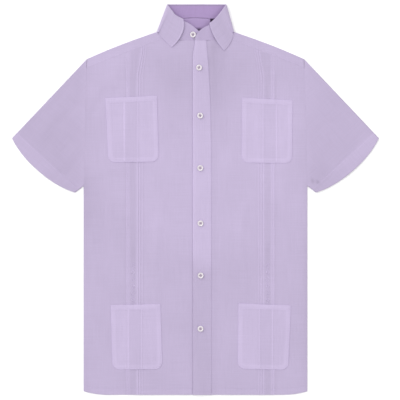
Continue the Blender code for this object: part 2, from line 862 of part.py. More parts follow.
def button_mesh():
    """One four-hole button, its underside at z 0: a turned profile, then the holes."""
    half = BUTTON_DIAMETER / 2
    profile = (
        (0.0, 0.0),
        (half * 0.72, 0.0),
        (half * 0.94, 0.55),
        (half, 1.35),
        (half * 0.92, BUTTON_THICK - 0.15),
        (half * 0.78, BUTTON_THICK),
        (half * 0.62, BUTTON_THICK - 0.5),
        (0.0, BUTTON_THICK - 0.6),
    )
    bm = bmesh.new()
    verts = [bm.verts.new((x, 0.0, z)) for x, z in profile]
    edges = [bm.edges.new(pair) for pair in zip(verts, verts[1:])]
    bmesh.ops.spin(
        bm, geom=verts + edges, axis=(0, 0, 1), cent=(0, 0, 0), steps=16, angle=math.tau, use_merge=True
    )
    bmesh.ops.remove_doubles(bm, verts=bm.verts, dist=0.001)
    bmesh.ops.recalc_face_normals(bm, faces=bm.faces)
    blank = finish(bm, "button_blank", "pearl_button")
    cutter_mesh = bmesh.new()
    for quarter in range(4):
        drill = bmesh.ops.create_cone(
            cutter_mesh,
            segments=6,
            radius1=BUTTON_HOLE / 2,
            radius2=BUTTON_HOLE / 2,
            depth=3 * BUTTON_THICK,
            cap_ends=True,
        )["verts"]
        angle = math.radians(45 + 90 * quarter)
        spot = (BUTTON_HOLE_RADIUS * math.cos(angle), BUTTON_HOLE_RADIUS * math.sin(angle), 0)
        bmesh.ops.translate(cutter_mesh, vec=spot, verts=drill)
    cutter = finish(cutter_mesh, "button_drill", "pearl_button")
    holes = blank.modifiers.new("Holes", "BOOLEAN")
    holes.object = cutter
    holes.operation = "DIFFERENCE"
    graph = bpy.context.evaluated_depsgraph_get()
    mesh = bpy.data.meshes.new_from_object(blank.evaluated_get(graph))
    mesh.name = "button"
    for helper in (blank, cutter):
        bpy.data.objects.remove(helper)
    return mesh


def make_buttons():
    mesh = button_mesh()
    spots = []
    for number, spot in enumerate(PLACKET_BUTTONS, 1):
        x, y = spot["x"], spot["y"]
        level = front_z(x, y) + over_step(x) + LAYER + GAP
        spots.append((f"button_{number}", x, y, level, 0.0))
    x, y = COLLAR_BUTTON["x"], COLLAR_BUTTON["y"]
    low = band_low(-1, -x)
    top = BAND_FRONT[-1][5]
    tilt = math.atan2(top["top_z"] - low.z, top["top_y"] - low.y)
    level = low.z + (y - low.y) * math.tan(tilt) + BAND_WALL / 2 + GAP + 0.25
    spots.append(("button_collar", x, y, level, tilt))
    for name, x, y, level, tilt in spots:
        made = bpy.data.objects.new(name, mesh)
        made.location = (x * MM, y * MM, level * MM)
        made.rotation_euler = (tilt, 0.0, 0.0)
        bpy.context.scene.collection.objects.link(made)


for thing in list(bpy.data.objects):
    bpy.data.objects.remove(thing)

make_back()
make_yoke()
make_front("front_right", -1)
make_front("front_left", 1)
make_placket()
for pocket in POCKETS:
    make_pocket(pocket)
make_sleeve("sleeve_right", -1)
make_sleeve("sleeve_left", 1)
make_band()
make_leaf()
make_neck_tab()
make_buttons()
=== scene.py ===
"""Guayabera shirt in a lilac linen blend, laid flat on a table with its front up.

The frame's axes are the shirt's: +X towards the wearer's left, +Y from the hem to
the collar and +Z up from the table. Sizes are millimetres, and each mesh is
scaled to the frame's metres where it is finished.
"""

import math
from functools import partial

import bmesh
import bpy
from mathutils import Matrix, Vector, noise


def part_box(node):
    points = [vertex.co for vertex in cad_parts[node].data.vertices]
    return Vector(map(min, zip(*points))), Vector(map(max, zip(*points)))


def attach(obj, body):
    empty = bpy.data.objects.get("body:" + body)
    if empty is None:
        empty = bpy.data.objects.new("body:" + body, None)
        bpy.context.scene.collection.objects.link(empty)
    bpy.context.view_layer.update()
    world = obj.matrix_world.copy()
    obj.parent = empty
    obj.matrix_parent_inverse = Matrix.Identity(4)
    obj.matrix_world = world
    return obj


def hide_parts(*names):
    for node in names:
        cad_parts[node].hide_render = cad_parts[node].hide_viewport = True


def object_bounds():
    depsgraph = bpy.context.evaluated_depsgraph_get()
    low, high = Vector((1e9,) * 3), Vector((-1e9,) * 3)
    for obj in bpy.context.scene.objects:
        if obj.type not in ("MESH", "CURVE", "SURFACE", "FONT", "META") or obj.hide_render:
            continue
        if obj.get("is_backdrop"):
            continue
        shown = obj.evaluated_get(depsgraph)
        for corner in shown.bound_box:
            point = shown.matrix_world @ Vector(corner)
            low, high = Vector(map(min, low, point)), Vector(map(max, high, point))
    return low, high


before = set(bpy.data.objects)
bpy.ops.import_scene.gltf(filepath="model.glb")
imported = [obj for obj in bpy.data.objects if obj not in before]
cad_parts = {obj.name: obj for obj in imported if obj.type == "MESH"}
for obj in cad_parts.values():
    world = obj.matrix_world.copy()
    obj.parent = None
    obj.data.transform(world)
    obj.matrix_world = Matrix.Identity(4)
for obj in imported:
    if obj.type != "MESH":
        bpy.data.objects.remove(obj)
cad_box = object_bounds()


# ================================================================== back panel
# The back is one width of lilac linen blend from the hem up to the yoke seam. It
# lies face down on the table and carries the rest of the shirt. Its hem is turned
# up and stitched, and a few soft creases lift it off the table.

MM = 0.001
CLOTH = 0.7
LILAC = (0.470, 0.399, 0.567)
LILAC_THREAD = (0.60, 0.51, 0.72)
# SHADED_LILAC is the painted shade colour for the cloth inside the neck.
SHADED_LILAC = (0.440, 0.318, 0.575)
SHADE_LIGHT, PLAIN_LIGHT = 0.8, 0.97
EDGE_STEPS = (0.0, 0.25, 0.7, 1.6)
FOLD_DROP, FOLD_ROUND = 0.45, 1.1
HEM_DEPTH, HEM_SEWN_HALF = 11.5, 232
HEM_STEPS = EDGE_STEPS + (HEM_DEPTH - 0.8, HEM_DEPTH, HEM_DEPTH + 0.8)
STITCH_LENGTH, STITCH_GAP = 2.5, 0.8
STITCH_DIP, STITCH_DIP_WIDTH = 0.22, 1.1
STITCH_LIFTS = ((0.0, -0.10), (0.5, 0.16), (1.0, -0.10))
SEAM_THREAD, EDGE_THREAD = 0.34, 0.36

back_low, back_high = (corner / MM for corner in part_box("back"))
BODY_HALF = back_high.x
HEM_Y = back_low.y
BACK_SEAM_Y = back_high.y
HEM_FLAT_HALF = 184.0
HEM_SIDE_RISE = 7.4
UNDERARM_Y = 28.4
SHOULDER_POINT = (228.3, 295.0)

# Creases run from one place to another. Ridges have a height above 0, troughs below.
# Each fades out a little beyond its ends, and some widths to either side.
CREASE_BEYOND, CREASE_FADE, CREASE_WIDTHS = 0.2, 0.5, 2.4
BACK_CREASES = (
    {"from": (-168, -372), "to": (-132, -150), "bow": 9, "width": 13, "height": 1.3},
    {"from": (-60, -395), "to": (-38, -240), "bow": -6, "width": 10, "height": 1.0},
    {"from": (70, -330), "to": (118, -60), "bow": 12, "width": 15, "height": 1.4},
    {"from": (186, -300), "to": (150, -205), "bow": 4, "width": 8, "height": 0.8},
    {"from": (-205, 18), "to": (-92, 96), "bow": 10, "width": 12, "height": 1.2},
    {"from": (204, 8), "to": (120, 70), "bow": -8, "width": 11, "height": 1.1},
    {"from": (-20, 40), "to": (12, 200), "bow": 7, "width": 16, "height": 1.2},
    {"from": (96, 150), "to": (172, 226), "bow": -5, "width": 10, "height": 0.9},
)


def mix(a, b, share):
    return a + (b - a) * share


def ease(share):
    """0 below 0, 1 above 1, and a smooth step between."""
    share = min(1.0, max(0.0, share))
    return share * share * (3 - 2 * share)


def hem_y(x):
    beyond = max(0.0, abs(x) - HEM_FLAT_HALF) / (BODY_HALF - HEM_FLAT_HALF)
    return HEM_Y + HEM_SIDE_RISE * beyond**2


def side_x(y):
    """Half width of the body: the side seam, then the straight armhole seam."""
    end_x, end_y = SHOULDER_POINT
    return mix(BODY_HALF, end_x, max(0.0, (y - UNDERARM_Y) / (end_y - UNDERARM_Y)))


def crease_height(x, y, creases):
    """Sum of the creases, each full along its middle and gone past its ends."""
    total = 0.0
    for crease in creases:
        (from_x, from_y), (to_x, to_y) = crease["from"], crease["to"]
        along_x, along_y = to_x - from_x, to_y - from_y
        length = math.hypot(along_x, along_y)
        share = ((x - from_x) * along_x + (y - from_y) * along_y) / length**2
        end = min(share, 1 - share)
        if end < -CREASE_BEYOND:
            continue
        off = ((x - from_x) * along_y - (y - from_y) * along_x) / length
        off -= crease["bow"] * 4 * share * (1 - share)
        reach = off / crease["width"]
        if abs(reach) < CREASE_WIDTHS:
            fade = ease((end + CREASE_BEYOND) / CREASE_FADE)
            total += crease["height"] * math.exp(-reach * reach) * fade
    return total


def folded_edge(distance):
    """How far a folded edge rounds down, by distance in from the edge."""
    return FOLD_DROP * max(0.0, 1 - max(0.0, distance) / FOLD_ROUND) ** 2


def stitch_dip(distance):
    """A row of stitches pulls the cloth in, by distance from the row."""
    return STITCH_DIP * math.exp(-((distance / STITCH_DIP_WIDTH) ** 2))


def graded(index, start, end, near, middle, far):
    """A place between start and end: close together at both, even between."""
    if index < len(near):
        return start + near[index]
    index -= len(near)
    if index < middle:
        return mix(start + near[-1], end - far[-1], (index + 1) / (middle + 1))
    return end - far[len(far) - 1 - (index - middle)]


def new_finish(name, roughness):
    """A new material, with its nodes, its links and its shader to hand."""
    made = bpy.data.materials.new(name)
    made.use_nodes = True
    nodes, links = made.node_tree.nodes, made.node_tree.links
    shader = nodes["Principled BSDF"]
    shader.inputs["Roughness"].default_value = roughness
    return made, nodes, links, shader


def woven_cloth(name, colour, sheen=0.22, weave=0.6, clouds=0.095, shade=None):
    """Plain weave of slubby threads, read from the piece's own cut.

    weave is its pitch in millimetres, and clouds is how far its colour drifts. The piece's
    lightness paints light and shade on its colour, and where it falls from PLAIN_LIGHT to
    SHADE_LIGHT its colour goes to shade, the painted shade colour.
    """
    made, nodes, links, shader = new_finish(name, 0.84)
    shader.inputs["Specular IOR Level"].default_value = 0.22
    shader.inputs["Sheen Weight"].default_value = sheen
    shader.inputs["Sheen Roughness"].default_value = 0.5
    shader.inputs["Sheen Tint"].default_value = (0.93, 0.88, 1.0, 1.0)
    cut = nodes.new("ShaderNodeUVMap")
    cut.uv_map = "cut"

    def stretched(across, along, detail):
        """Noise on the cut, with this many changes in a metre each way."""
        place = nodes.new("ShaderNodeMapping")
        place.inputs["Scale"].default_value = (across, along, 1.0)
        links.new(cut.outputs["UV"], place.inputs["Vector"])
        made_noise = nodes.new("ShaderNodeTexNoise")
        made_noise.noise_dimensions = "2D"
        made_noise.inputs["Scale"].default_value = 1.0
        made_noise.inputs["Detail"].default_value = detail
        links.new(place.outputs["Vector"], made_noise.inputs["Vector"])
        return made_noise.outputs["Fac"]

    def threads(direction):
        wave = nodes.new("ShaderNodeTexWave")
        wave.bands_direction = direction
        wave.inputs["Scale"].default_value = math.tau / 20 / (weave * MM)
        wave.inputs["Distortion"].default_value = 0.6
        links.new(cut.outputs["UV"], wave.inputs["Vector"])
        return wave.outputs["Fac"]

    def reckon(operation, first, second):
        step = nodes.new("ShaderNodeMath")
        step.operation = operation
        for socket, value in zip(step.inputs, (first, second)):
            if isinstance(value, float):
                socket.default_value = value
            else:
                links.new(value, socket)
        return step.outputs[0]

    def swing(noise_socket, gain):
        """Noise as a factor about 1."""
        return reckon("ADD", reckon("MULTIPLY", noise_socket, gain), 1.0 - gain / 2)

    warp, weft = stretched(820.0, 16.0, 2.0), stretched(16.0, 820.0, 2.0)
    patches = stretched(15.0, 9.0, 3.0)
    slubs = reckon("ADD", warp, weft)
    light = nodes.new("ShaderNodeAttribute")
    light.attribute_name = "lightness"
    threads_tone = swing(reckon("MULTIPLY", slubs, 0.5), 0.2)
    tone = reckon("MULTIPLY", swing(patches, clouds), threads_tone)
    tone = reckon("MULTIPLY", tone, light.outputs["Fac"])
    dyed = nodes.new("ShaderNodeVectorMath")
    dyed.operation = "SCALE"
    dyed.inputs[0].default_value = colour
    if shade is not None:
        # The colour goes over to the painted shade colour as the lightness falls.
        depth = nodes.new("ShaderNodeMapRange")
        depth.inputs["From Min"].default_value = SHADE_LIGHT
        depth.inputs["From Max"].default_value = PLAIN_LIGHT
        links.new(light.outputs["Fac"], depth.inputs["Value"])
        blend = nodes.new("ShaderNodeMix")
        blend.data_type = "RGBA"
        blend.inputs["A"].default_value = (*shade, 1.0)
        blend.inputs["B"].default_value = (*colour, 1.0)
        links.new(depth.outputs["Result"], blend.inputs["Factor"])
        links.new(blend.outputs["Result"], dyed.inputs[0])
    links.new(tone, dyed.inputs["Scale"])
    links.new(dyed.outputs[0], shader.inputs["Base Color"])

    crossing = reckon("MULTIPLY", threads("X"), threads("Y"))
    relief = reckon("ADD", crossing, reckon("MULTIPLY", slubs, 1.4))
    bump = nodes.new("ShaderNodeBump")
    bump.inputs["Strength"].default_value = 0.5
    bump.inputs["Distance"].default_value = 0.12 * MM
    links.new(relief, bump.inputs["Height"])
    links.new(bump.outputs["Normal"], shader.inputs["Normal"])
    return made


def shell(name, point, columns, rows, material, closed=False, keep=None, cut=None):
    """A thin closed shell of cloth from one grid.

    point(column, row, face) gives x, y, z and lightness, with face 0 underneath
    and face 1 on top. A closed piece is a tube whose last column lies on its
    first. cut(column, row) gives the place on the flat cut where that isn't x, y.
    """
    bm = bmesh.new()
    # Lightness scales the cloth's colour: painted light and shade, and the paler tone of doubled
    # cloth.
    light = bm.verts.layers.float.new("lightness")
    flat = bm.loops.layers.uv.new("cut")
    bmesh.ops.create_grid(bm, x_segments=columns - 1, y_segments=rows - 1, size=1.0)

    def place(vert):
        column = round((vert.co.x + 1) / 2 * (columns - 1))
        return column, round((vert.co.y + 1) / 2 * (rows - 1))

    if keep is not None:
        unused = [vert for vert in bm.verts if not keep(*place(vert))]
        bmesh.ops.delete(bm, geom=unused, context="VERTS")
    places = {vert: (*place(vert), 0) for vert in bm.verts}
    made = bmesh.ops.extrude_face_region(bm, geom=list(bm.faces), use_keep_orig=True)
    for item in made["geom"]:
        if isinstance(item, bmesh.types.BMVert):
            places[item] = (*place(item), 1)
    if closed:
        ends = ({0}, {columns - 1})
        inner = [face for face in bm.faces if {places[v][0] for v in face.verts} in ends]
        bmesh.ops.delete(bm, geom=inner, context="FACES_ONLY")
    for vert, at in places.items():
        x, y, z, vert[light] = point(*at)
        u, v = cut(at[0], at[1]) if cut else (x, y)
        vert.co = (x, y, z)
        for loop in vert.link_loops:
            loop[flat].uv = (u * MM, v * MM)
    if closed:
        bmesh.ops.remove_doubles(bm, verts=bm.verts, dist=0.001)
    return finished(bm, name, material)


def placed(name, data):
    """A new object in the scene, holding a mesh, a curve, a light or a camera."""
    made = bpy.data.objects.new(name, data)
    bpy.context.scene.collection.objects.link(made)
    return made


def meshed(bm, name):
    """Ends the shaping of a mesh and places it in the scene."""
    mesh = bpy.data.meshes.new(name)
    bm.to_mesh(mesh)
    bm.free()
    return placed(name, mesh)


def finished(bm, name, material):
    """Turns a mesh in millimetres into an object of the frame that rides on the shirt."""
    bmesh.ops.recalc_face_normals(bm, faces=bm.faces)
    bmesh.ops.scale(bm, vec=(MM, MM, MM), verts=bm.verts)
    for face in bm.faces:
        face.smooth = True
    made = meshed(bm, name)
    made.data.materials.append(material)
    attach(made, "root")
    return made


def thread_material(name, colour):
    """Twisted sewing thread: a soft shine, and a fine change of tone from its plies."""
    made, nodes, links, shader = new_finish(name, 0.5)
    shader.inputs["Sheen Weight"].default_value = 0.3
    place = nodes.new("ShaderNodeTexCoord")
    plies = nodes.new("ShaderNodeTexNoise")
    plies.inputs["Scale"].default_value = 900.0
    links.new(place.outputs["Object"], plies.inputs["Vector"])
    tone = nodes.new("ShaderNodeMapRange")
    tone.inputs["To Min"].default_value = 0.86
    tone.inputs["To Max"].default_value = 1.1
    links.new(plies.outputs["Fac"], tone.inputs["Value"])
    dyed = nodes.new("ShaderNodeVectorMath")
    dyed.operation = "SCALE"
    dyed.inputs[0].default_value = colour
    links.new(tone.outputs["Result"], dyed.inputs["Scale"])
    links.new(dyed.outputs[0], shader.inputs["Base Color"])
    return made


def measured(spots):
    """A line's length, and a reader of where a distance falls: after which spot, and
    what share of the way to the next."""
    lengths = [0.0]
    for start, end in zip(spots, spots[1:]):
        lengths.append(lengths[-1] + (end - start).length)

    def locate(distance):
        index = 1
        while index < len(spots) - 1 and lengths[index] < distance:
            index += 1
        before = lengths[index - 1]
        return index - 1, (distance - before) / (lengths[index] - before)

    return locate, lengths[-1]


def along_line(points, height, upward=1.0):
    """A sewn line laid on a surface: its places and outward way by distance, its length."""
    spots = [Vector((*point, 0.0)) for point in points]
    locate, length = measured(spots)

    def at(distance):
        index, share = locate(distance)
        spot = spots[index].lerp(spots[index + 1], share)
        spot.z = height(spot.x, spot.y)
        return spot, Vector((0.0, 0.0, upward))

    return at, length


def stitches(at, length):
    """Threads of one row: where each goes in, its middle, and where it comes out."""
    rows = []
    count = int(length / (STITCH_LENGTH + STITCH_GAP))
    for number in range(count):
        start = (number + 0.5) * length / count - STITCH_LENGTH / 2
        row = []
        for share, lift in STITCH_LIFTS:
            spot, up = at(min(length, max(0.0, start + share * STITCH_LENGTH)))
            row.append(spot + up * lift)
        rows.append(row)
    return rows


def sewn(name, rows, thickness, material):
    """One joined mesh of short threads, each pinched where it enters the cloth."""
    curve = bpy.data.curves.new(name, "CURVE")
    curve.dimensions = "3D"
    curve.bevel_depth = thickness / 2 * MM
    curve.bevel_resolution = 0
    curve.use_fill_caps = True
    for row in rows:
        spline = curve.splines.new("POLY")
        spline.points.add(len(row) - 1)
        for point, spot in zip(spline.points, row):
            point.co = (*(spot * MM), 1.0)
        spline.points[0].radius = spline.points[-1].radius = 0.45
    helper = placed(name + "_run", curve)
    graph = bpy.context.evaluated_depsgraph_get()
    mesh = bpy.data.meshes.new_from_object(helper.evaluated_get(graph))
    bpy.data.objects.remove(helper)
    for face in mesh.polygons:
        face.use_smooth = True
    mesh.name = name
    mesh.materials.clear()
    mesh.materials.append(material)
    made = placed(name, mesh)
    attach(made, "root")
    return made


body_cloth = woven_cloth("lilac_linen_body", LILAC)
lilac_thread = thread_material("lilac_thread", LILAC_THREAD)

back_columns, back_middle = 61, 90
back_rows = len(HEM_STEPS) + back_middle + len(EDGE_STEPS)


def back_point(column, row, face):
    share = column / (back_columns - 1) * 2 - 1
    y = graded(row, HEM_Y, BACK_SEAM_Y, HEM_STEPS, back_middle, EDGE_STEPS)
    x = side_x(y) * share
    y = mix(hem_y(x), BACK_SEAM_Y, (y - HEM_Y) / (BACK_SEAM_Y - HEM_Y))
    inward = min(side_x(y) - abs(x), y - hem_y(x), BACK_SEAM_Y - y)
    z = crease_height(x, y, BACK_CREASES) * ease(inward / 30)
    if face:
        z += CLOTH - 0.6 * folded_edge(inward)
    return x, y, z, PLAIN_LIGHT


def under_hem(x, y):
    """The flat underside of the back's hem, where its stitches show."""
    return 0.1


back = shell("back_panel", back_point, back_columns, back_rows, body_cloth)
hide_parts("back")
hem_path = [(x, hem_y(x) + HEM_DEPTH) for x in range(-HEM_SEWN_HALF, HEM_SEWN_HALF + 1, 8)]
hem_sewing = stitches(*along_line(hem_path, under_hem, upward=-1.0))
back_stitches = sewn("back_hem_stitches", hem_sewing, SEAM_THREAD, lilac_thread)


# ====================================================================== fronts
# Two cut fronts, joined to the back at the side seams. Each has two groups of
# stitched tucks, pressed away from a plain band between them that carries a little
# self-coloured embroidery. The left front laps over the right one.

NECK_POINT = (78.5, 352.5)
SHOULDER_BOW = 2.6
SLEEVE_TOP_END = (385.4, 129.0)
SLEEVE_LOW_END = (253.0, 14.7)
YOKE_FRONT_DROP = 18.0
YOKE_FRONT_NECK = 66.0
FRONT_NECK_Y = 334.0
FRONT_NECK_FLAT = 30.0
SEAM_TOP = 2.3
RISE, RISE_REACH = 2.2, 22.0
FOLD_EXTRA, FOLD_REACH = 0.7, 12.0
HEM_FALL, HEM_FALL_REACH = 1.9, 34
LEAF_HALF, LEAF_BACK_Y, LEAF_BACK_BOW = 80.7, 365, 11.5
NECK_LIFT, NECK_LIFT_HALF = 2.0, 115.7
CRINKLES = (
    {"height": 0.30, "across": 34, "along": 46, "seed": 3.1},
    {"height": 0.12, "across": 13, "along": 17, "seed": 8.4},
)
LAYER = 1.3
CENTRE_X = 10.5
UNDER_EDGE_X = 29.0
OVER_EDGE_X, OVER_EDGE_LEAN, OVER_LEAN_START_Y = -5.5, 4.5, 296.0
OVER_STEP_X = (33.0, 46.0)

# A tuck's crest is its folded edge. It faces out to the side (1) or in (-1).
TUCKS = (
    {"crest": 155.2, "faces": 1, "top_y": 272.0},
    {"crest": 151.4, "faces": 1, "top_y": 272.0},
    {"crest": 131.4, "faces": -1, "top_y": 400.0},
    {"crest": 126.1, "faces": -1, "top_y": 400.0, "rise": 0.8},
    {"crest": 120.8, "faces": -1, "top_y": 400.0, "rise": 0.5},
)
TUCK_WIDTH, TUCK_HEIGHT, TUCK_SHADE_WIDTH = 3.6, 0.5, 1.6
TUCK_STEPS = (-TUCK_WIDTH, -2.7, -1.8, -0.9, -0.3, 0.0, 0.12, 0.6)
TUCK_THREAD, TUCK_SEWN_IN = 0.3, 0.5
OUTER_SHINE, INNER_SHINE, INNER_FROM = 0.17, 0.13, 153
LOWER_TONE, LOWER_TONE_Y, LOWER_TONE_REACH = 0.035, -40, 120
SLANT_START_Y, SLANT_END_Y = 261.0, 312.0

# The inner tucks lean in under the yoke, and the cloth beside them follows. Offsets
# are from the centre line: low down, and at the top.
SLANTED = ((98, 98), (120, 112.9), (135, 124.9), (145, 145))
CENTRE_BAND, CENTRE_BAND_LINES = (135.0, 147.6), (137.5, 140.0, 142.5, 145.0)
SPRIG_TOP_Y, SPRIG_SPACING, SPRIG_THREAD = -138.0, 14.5, 0.62

UPPER_CREASES = (
    # wearer's right front
    {"from": (-177.5, 22), "to": (-178, -78), "bow": 1, "width": 3.2, "height": 0.55},
    {"from": (-201, 30), "to": (-197, -98), "bow": -4, "width": 13, "height": -1.1},
    {"from": (-214, 214), "to": (-150, 296), "bow": 8, "width": 15, "height": 1.3},
    {"from": (-222, 168), "to": (-186, 246), "bow": 3, "width": 10, "height": -1.2},
    {"from": (-196, 236), "to": (-142, 228), "bow": 3, "width": 7, "height": -0.7},
    {"from": (-70, 196), "to": (-34, 30), "bow": -9, "width": 26, "height": 1.2},
    {"from": (-70, 304), "to": (-14, 232), "bow": 8, "width": 17, "height": -1.2},
    {"from": (-100, -24), "to": (-16, -62), "bow": -6, "width": 17, "height": -1.0},
    {"from": (-74, -20), "to": (-82, -206), "bow": 5, "width": 9, "height": 1.0},
    {"from": (-60, -95), "to": (-54, -196), "bow": -4, "width": 10, "height": -0.7},
    {"from": (-222, -60), "to": (-190, -208), "bow": 7, "width": 13, "height": 0.9},
    {"from": (-228, -250), "to": (-196, -392), "bow": -5, "width": 12, "height": -0.9},
    {"from": (-58, -300), "to": (-46, -398), "bow": 4, "width": 12, "height": 0.9},
    {"from": (-226, 44), "to": (-150, 66), "bow": -5, "width": 9, "height": 0.8},
    # wearer's left front
    {"from": (36, 322), "to": (66, 262), "bow": -6, "width": 15, "height": -1.2},
    {"from": (86, 292), "to": (70, 226), "bow": 5, "width": 12, "height": 0.8},
    {"from": (150, 268), "to": (206, 236), "bow": -7, "width": 13, "height": 1.0},
    {"from": (216, 216), "to": (180, 262), "bow": 5, "width": 9, "height": -0.9},
    {"from": (66, 190), "to": (56, 86), "bow": -6, "width": 14, "height": -0.9},
    {"from": (74, 92), "to": (66, -14), "bow": 5, "width": 17, "height": 1.1},
    {"from": (106, -2), "to": (99, -110), "bow": 4, "width": 7, "height": 0.9},
    {"from": (94, -96), "to": (104, -206), "bow": -5, "width": 6, "height": 0.8},
    {"from": (84, -40), "to": (82, -160), "bow": 3, "width": 8, "height": -0.8},
    {"from": (197, 96), "to": (190, -40), "bow": 9, "width": 18, "height": 1.2},
    {"from": (176, -30), "to": (214, -110), "bow": -6, "width": 12, "height": -1.1},
    {"from": (222, -120), "to": (196, -214), "bow": 5, "width": 10, "height": 0.8},
    {"from": (212, 52), "to": (168, 40), "bow": 3, "width": 7, "height": -0.7},
    {"from": (60, -230), "to": (50, -352), "bow": -4, "width": 14, "height": -0.8},
    {"from": (218, -262), "to": (208, -388), "bow": 3, "width": 10, "height": 0.8},
    {"from": (70, -372), "to": (104, -402), "bow": 2, "width": 11, "height": 0.8},
    # wearer's right sleeve
    {"from": (-250, 252), "to": (-312, 150), "bow": -9, "width": 15, "height": 1.3},
    {"from": (-262, 196), "to": (-322, 92), "bow": 7, "width": 12, "height": -1.2},
    {"from": (-244, 120), "to": (-300, 58), "bow": -6, "width": 13, "height": 1.2},
    {"from": (-300, 196), "to": (-352, 128), "bow": 4, "width": 9, "height": -0.9},
    {"from": (-250, 62), "to": (-276, 46), "bow": 3, "width": 6, "height": -1.0},
    # wearer's left sleeve
    {"from": (246, 232), "to": (300, 168), "bow": 8, "width": 13, "height": 1.1},
    {"from": (262, 150), "to": (316, 96), "bow": -8, "width": 15, "height": 1.3},
    {"from": (250, 128), "to": (290, 66), "bow": 6, "width": 12, "height": -1.2},
    {"from": (312, 190), "to": (344, 120), "bow": -5, "width": 10, "height": -1.0},
    {"from": (241, 41), "to": (262, 35), "bow": 1, "width": 3.5, "height": -1.3},
    {"from": (250, 74), "to": (276, 52), "bow": -3, "width": 8, "height": 0.9},
)


def shoulder_y(x):
    (neck_x, neck_y), (end_x, end_y) = NECK_POINT, SHOULDER_POINT
    share = (abs(x) - neck_x) / (end_x - neck_x)
    bow = SHOULDER_BOW * 4 * share * (1 - share) if share > 0 else 0.0
    return mix(neck_y, end_y, share) + bow


def front_top_y(x):
    """Top edge of a front: the yoke's straight front seam, then the neckline."""
    corner = shoulder_y(YOKE_FRONT_NECK) - YOKE_FRONT_DROP
    end_x, end_y = SHOULDER_POINT
    if abs(x) >= YOKE_FRONT_NECK:
        share = (abs(x) - YOKE_FRONT_NECK) / (end_x - YOKE_FRONT_NECK)
        return mix(corner, end_y - YOKE_FRONT_DROP, share)
    share = (abs(x) - FRONT_NECK_FLAT) / (YOKE_FRONT_NECK - FRONT_NECK_FLAT)
    return mix(FRONT_NECK_Y, corner, max(0.0, share))


def segment_distance(x, y, start, end):
    along_x, along_y = end[0] - start[0], end[1] - start[1]
    share = ((x - start[0]) * along_x + (y - start[1]) * along_y) / (along_x**2 + along_y**2)
    share = min(1.0, max(0.0, share))
    return math.hypot(x - start[0] - along_x * share, y - start[1] - along_y * share)


def seam_distances(x, y):
    """How far a place on the upper layer is from the side, underarm and top folds."""
    half = abs(x)
    side = math.hypot(BODY_HALF - half, max(0.0, y - UNDERARM_Y))
    underarm = segment_distance(half, y, (BODY_HALF, UNDERARM_Y), SLEEVE_LOW_END)
    fold = min(
        segment_distance(half, y, NECK_POINT, SHOULDER_POINT),
        segment_distance(half, y, SHOULDER_POINT, SLEEVE_TOP_END),
    )
    return side, underarm, fold


def looseness(side, underarm, fold):
    """0 at a seam or fold, where the layers are held together, and 1 far from one."""
    loose = 1.0
    for distance in (side, underarm, fold):
        loose *= 1 - math.exp(-distance / RISE_REACH)
    return loose


def leaf_back_y(x):
    """The collar leaf's free edge at the back, where it lies under the shirt."""
    return LEAF_BACK_Y - LEAF_BACK_BOW * (min(abs(x), LEAF_HALF) / LEAF_HALF) ** 2


def neck_lift(x, y):
    """How far the folded-back collar holds the cloth round the neck up."""
    near = ease((y - leaf_back_y(x) + 30) / 28)
    return NECK_LIFT * ease((NECK_LIFT_HALF - abs(x)) / 35) * near


def crinkle(x, y):
    """Small uneven wrinkles that linen keeps after pressing."""
    total = 0.0
    for wrinkle in CRINKLES:
        place = Vector((x / wrinkle["across"], y / wrinkle["along"], wrinkle["seed"]))
        total += wrinkle["height"] * noise.noise(place)
    return total


def body_z(x, y):
    """Top face of the upper layer, without tucks or steps."""
    side, underarm, fold = seam_distances(x, y)
    loose = looseness(side, underarm, fold)
    z = SEAM_TOP + RISE * loose + FOLD_EXTRA * math.exp(-min(fold, underarm) / FOLD_REACH)
    under_leaf = ease((y - 285) / 35) * ease((125 - abs(x)) / 35)
    z += loose * (1 - 0.85 * under_leaf) * (crease_height(x, y, UPPER_CREASES) + crinkle(x, y))
    above_hem = y - hem_y(x)
    if above_hem < 150:
        fall = HEM_FALL + 0.5 * math.sin(x / 31 + 0.8) + 0.3 * math.sin(x / 13)
        z -= loose * fall * math.exp(-above_hem / HEM_FALL_REACH)
    return z + neck_lift(x, y) - 0.7 * math.exp(-side / 2.5)


def over_edge_x(y):
    """The left front's free edge, which leans in under the collar."""
    lean = ease((y - OVER_LEAN_START_Y) / (FRONT_NECK_Y - OVER_LEAN_START_Y))
    return OVER_EDGE_X + OVER_EDGE_LEAN * lean


def over_step(x):
    """The left front lies over the right one as far as the right one reaches."""
    near, far = OVER_STEP_X
    return LAYER * (1 - ease((x - near) / (far - near)))


def slanted(offset, y):
    """Where a line at an offset low down has leaned to at y."""
    share = min(1.0, max(0.0, (y - SLANT_START_Y) / (SLANT_END_Y - SLANT_START_Y)))
    for (low, low_top), (high, high_top) in zip(SLANTED, SLANTED[1:]):
        if low <= offset <= high:
            goal = mix(low_top, high_top, (offset - low) / (high - low))
            return mix(offset, goal, share)
    return offset


def tuck_profile(offset, y, tucks):
    """Height and lightness that the tucks add at a distance from the centre line. The
    lightness is a painted highlight along each crest and a painted shadow line beyond it.
    """
    height, light = 0.0, 0.0
    for tuck in tucks:
        beyond = (offset - tuck["crest"]) * tuck["faces"]
        if not -TUCK_WIDTH < beyond < TUCK_SHADE_WIDTH:
            continue
        full = 1 - 0.75 * ease((y - tuck["top_y"] + 12) / 24)
        full *= 1 + 0.16 * noise.noise(Vector((tuck["crest"], y / 55, 0.5)))
        full *= tuck.get("rise", 1.0)
        if beyond <= 0:
            height = TUCK_HEIGHT * full * ((beyond + TUCK_WIDTH) / TUCK_WIDTH) ** 0.8
            shine = OUTER_SHINE if tuck["crest"] > INNER_FROM else INNER_SHINE
            light = full * (shine * ease((beyond + 2.4) / 1.4) - 0.012)
        else:
            light -= 0.055 * full * (1 - beyond / TUCK_SHADE_WIDTH)
    return height, light


def between(first, last, count):
    """Lines spaced evenly between two others, as functions of y."""
    shares = [(number + 1) / (count + 1) for number in range(count)]
    return [lambda y, s=share: mix(first(y), last(y), s) for share in shares]


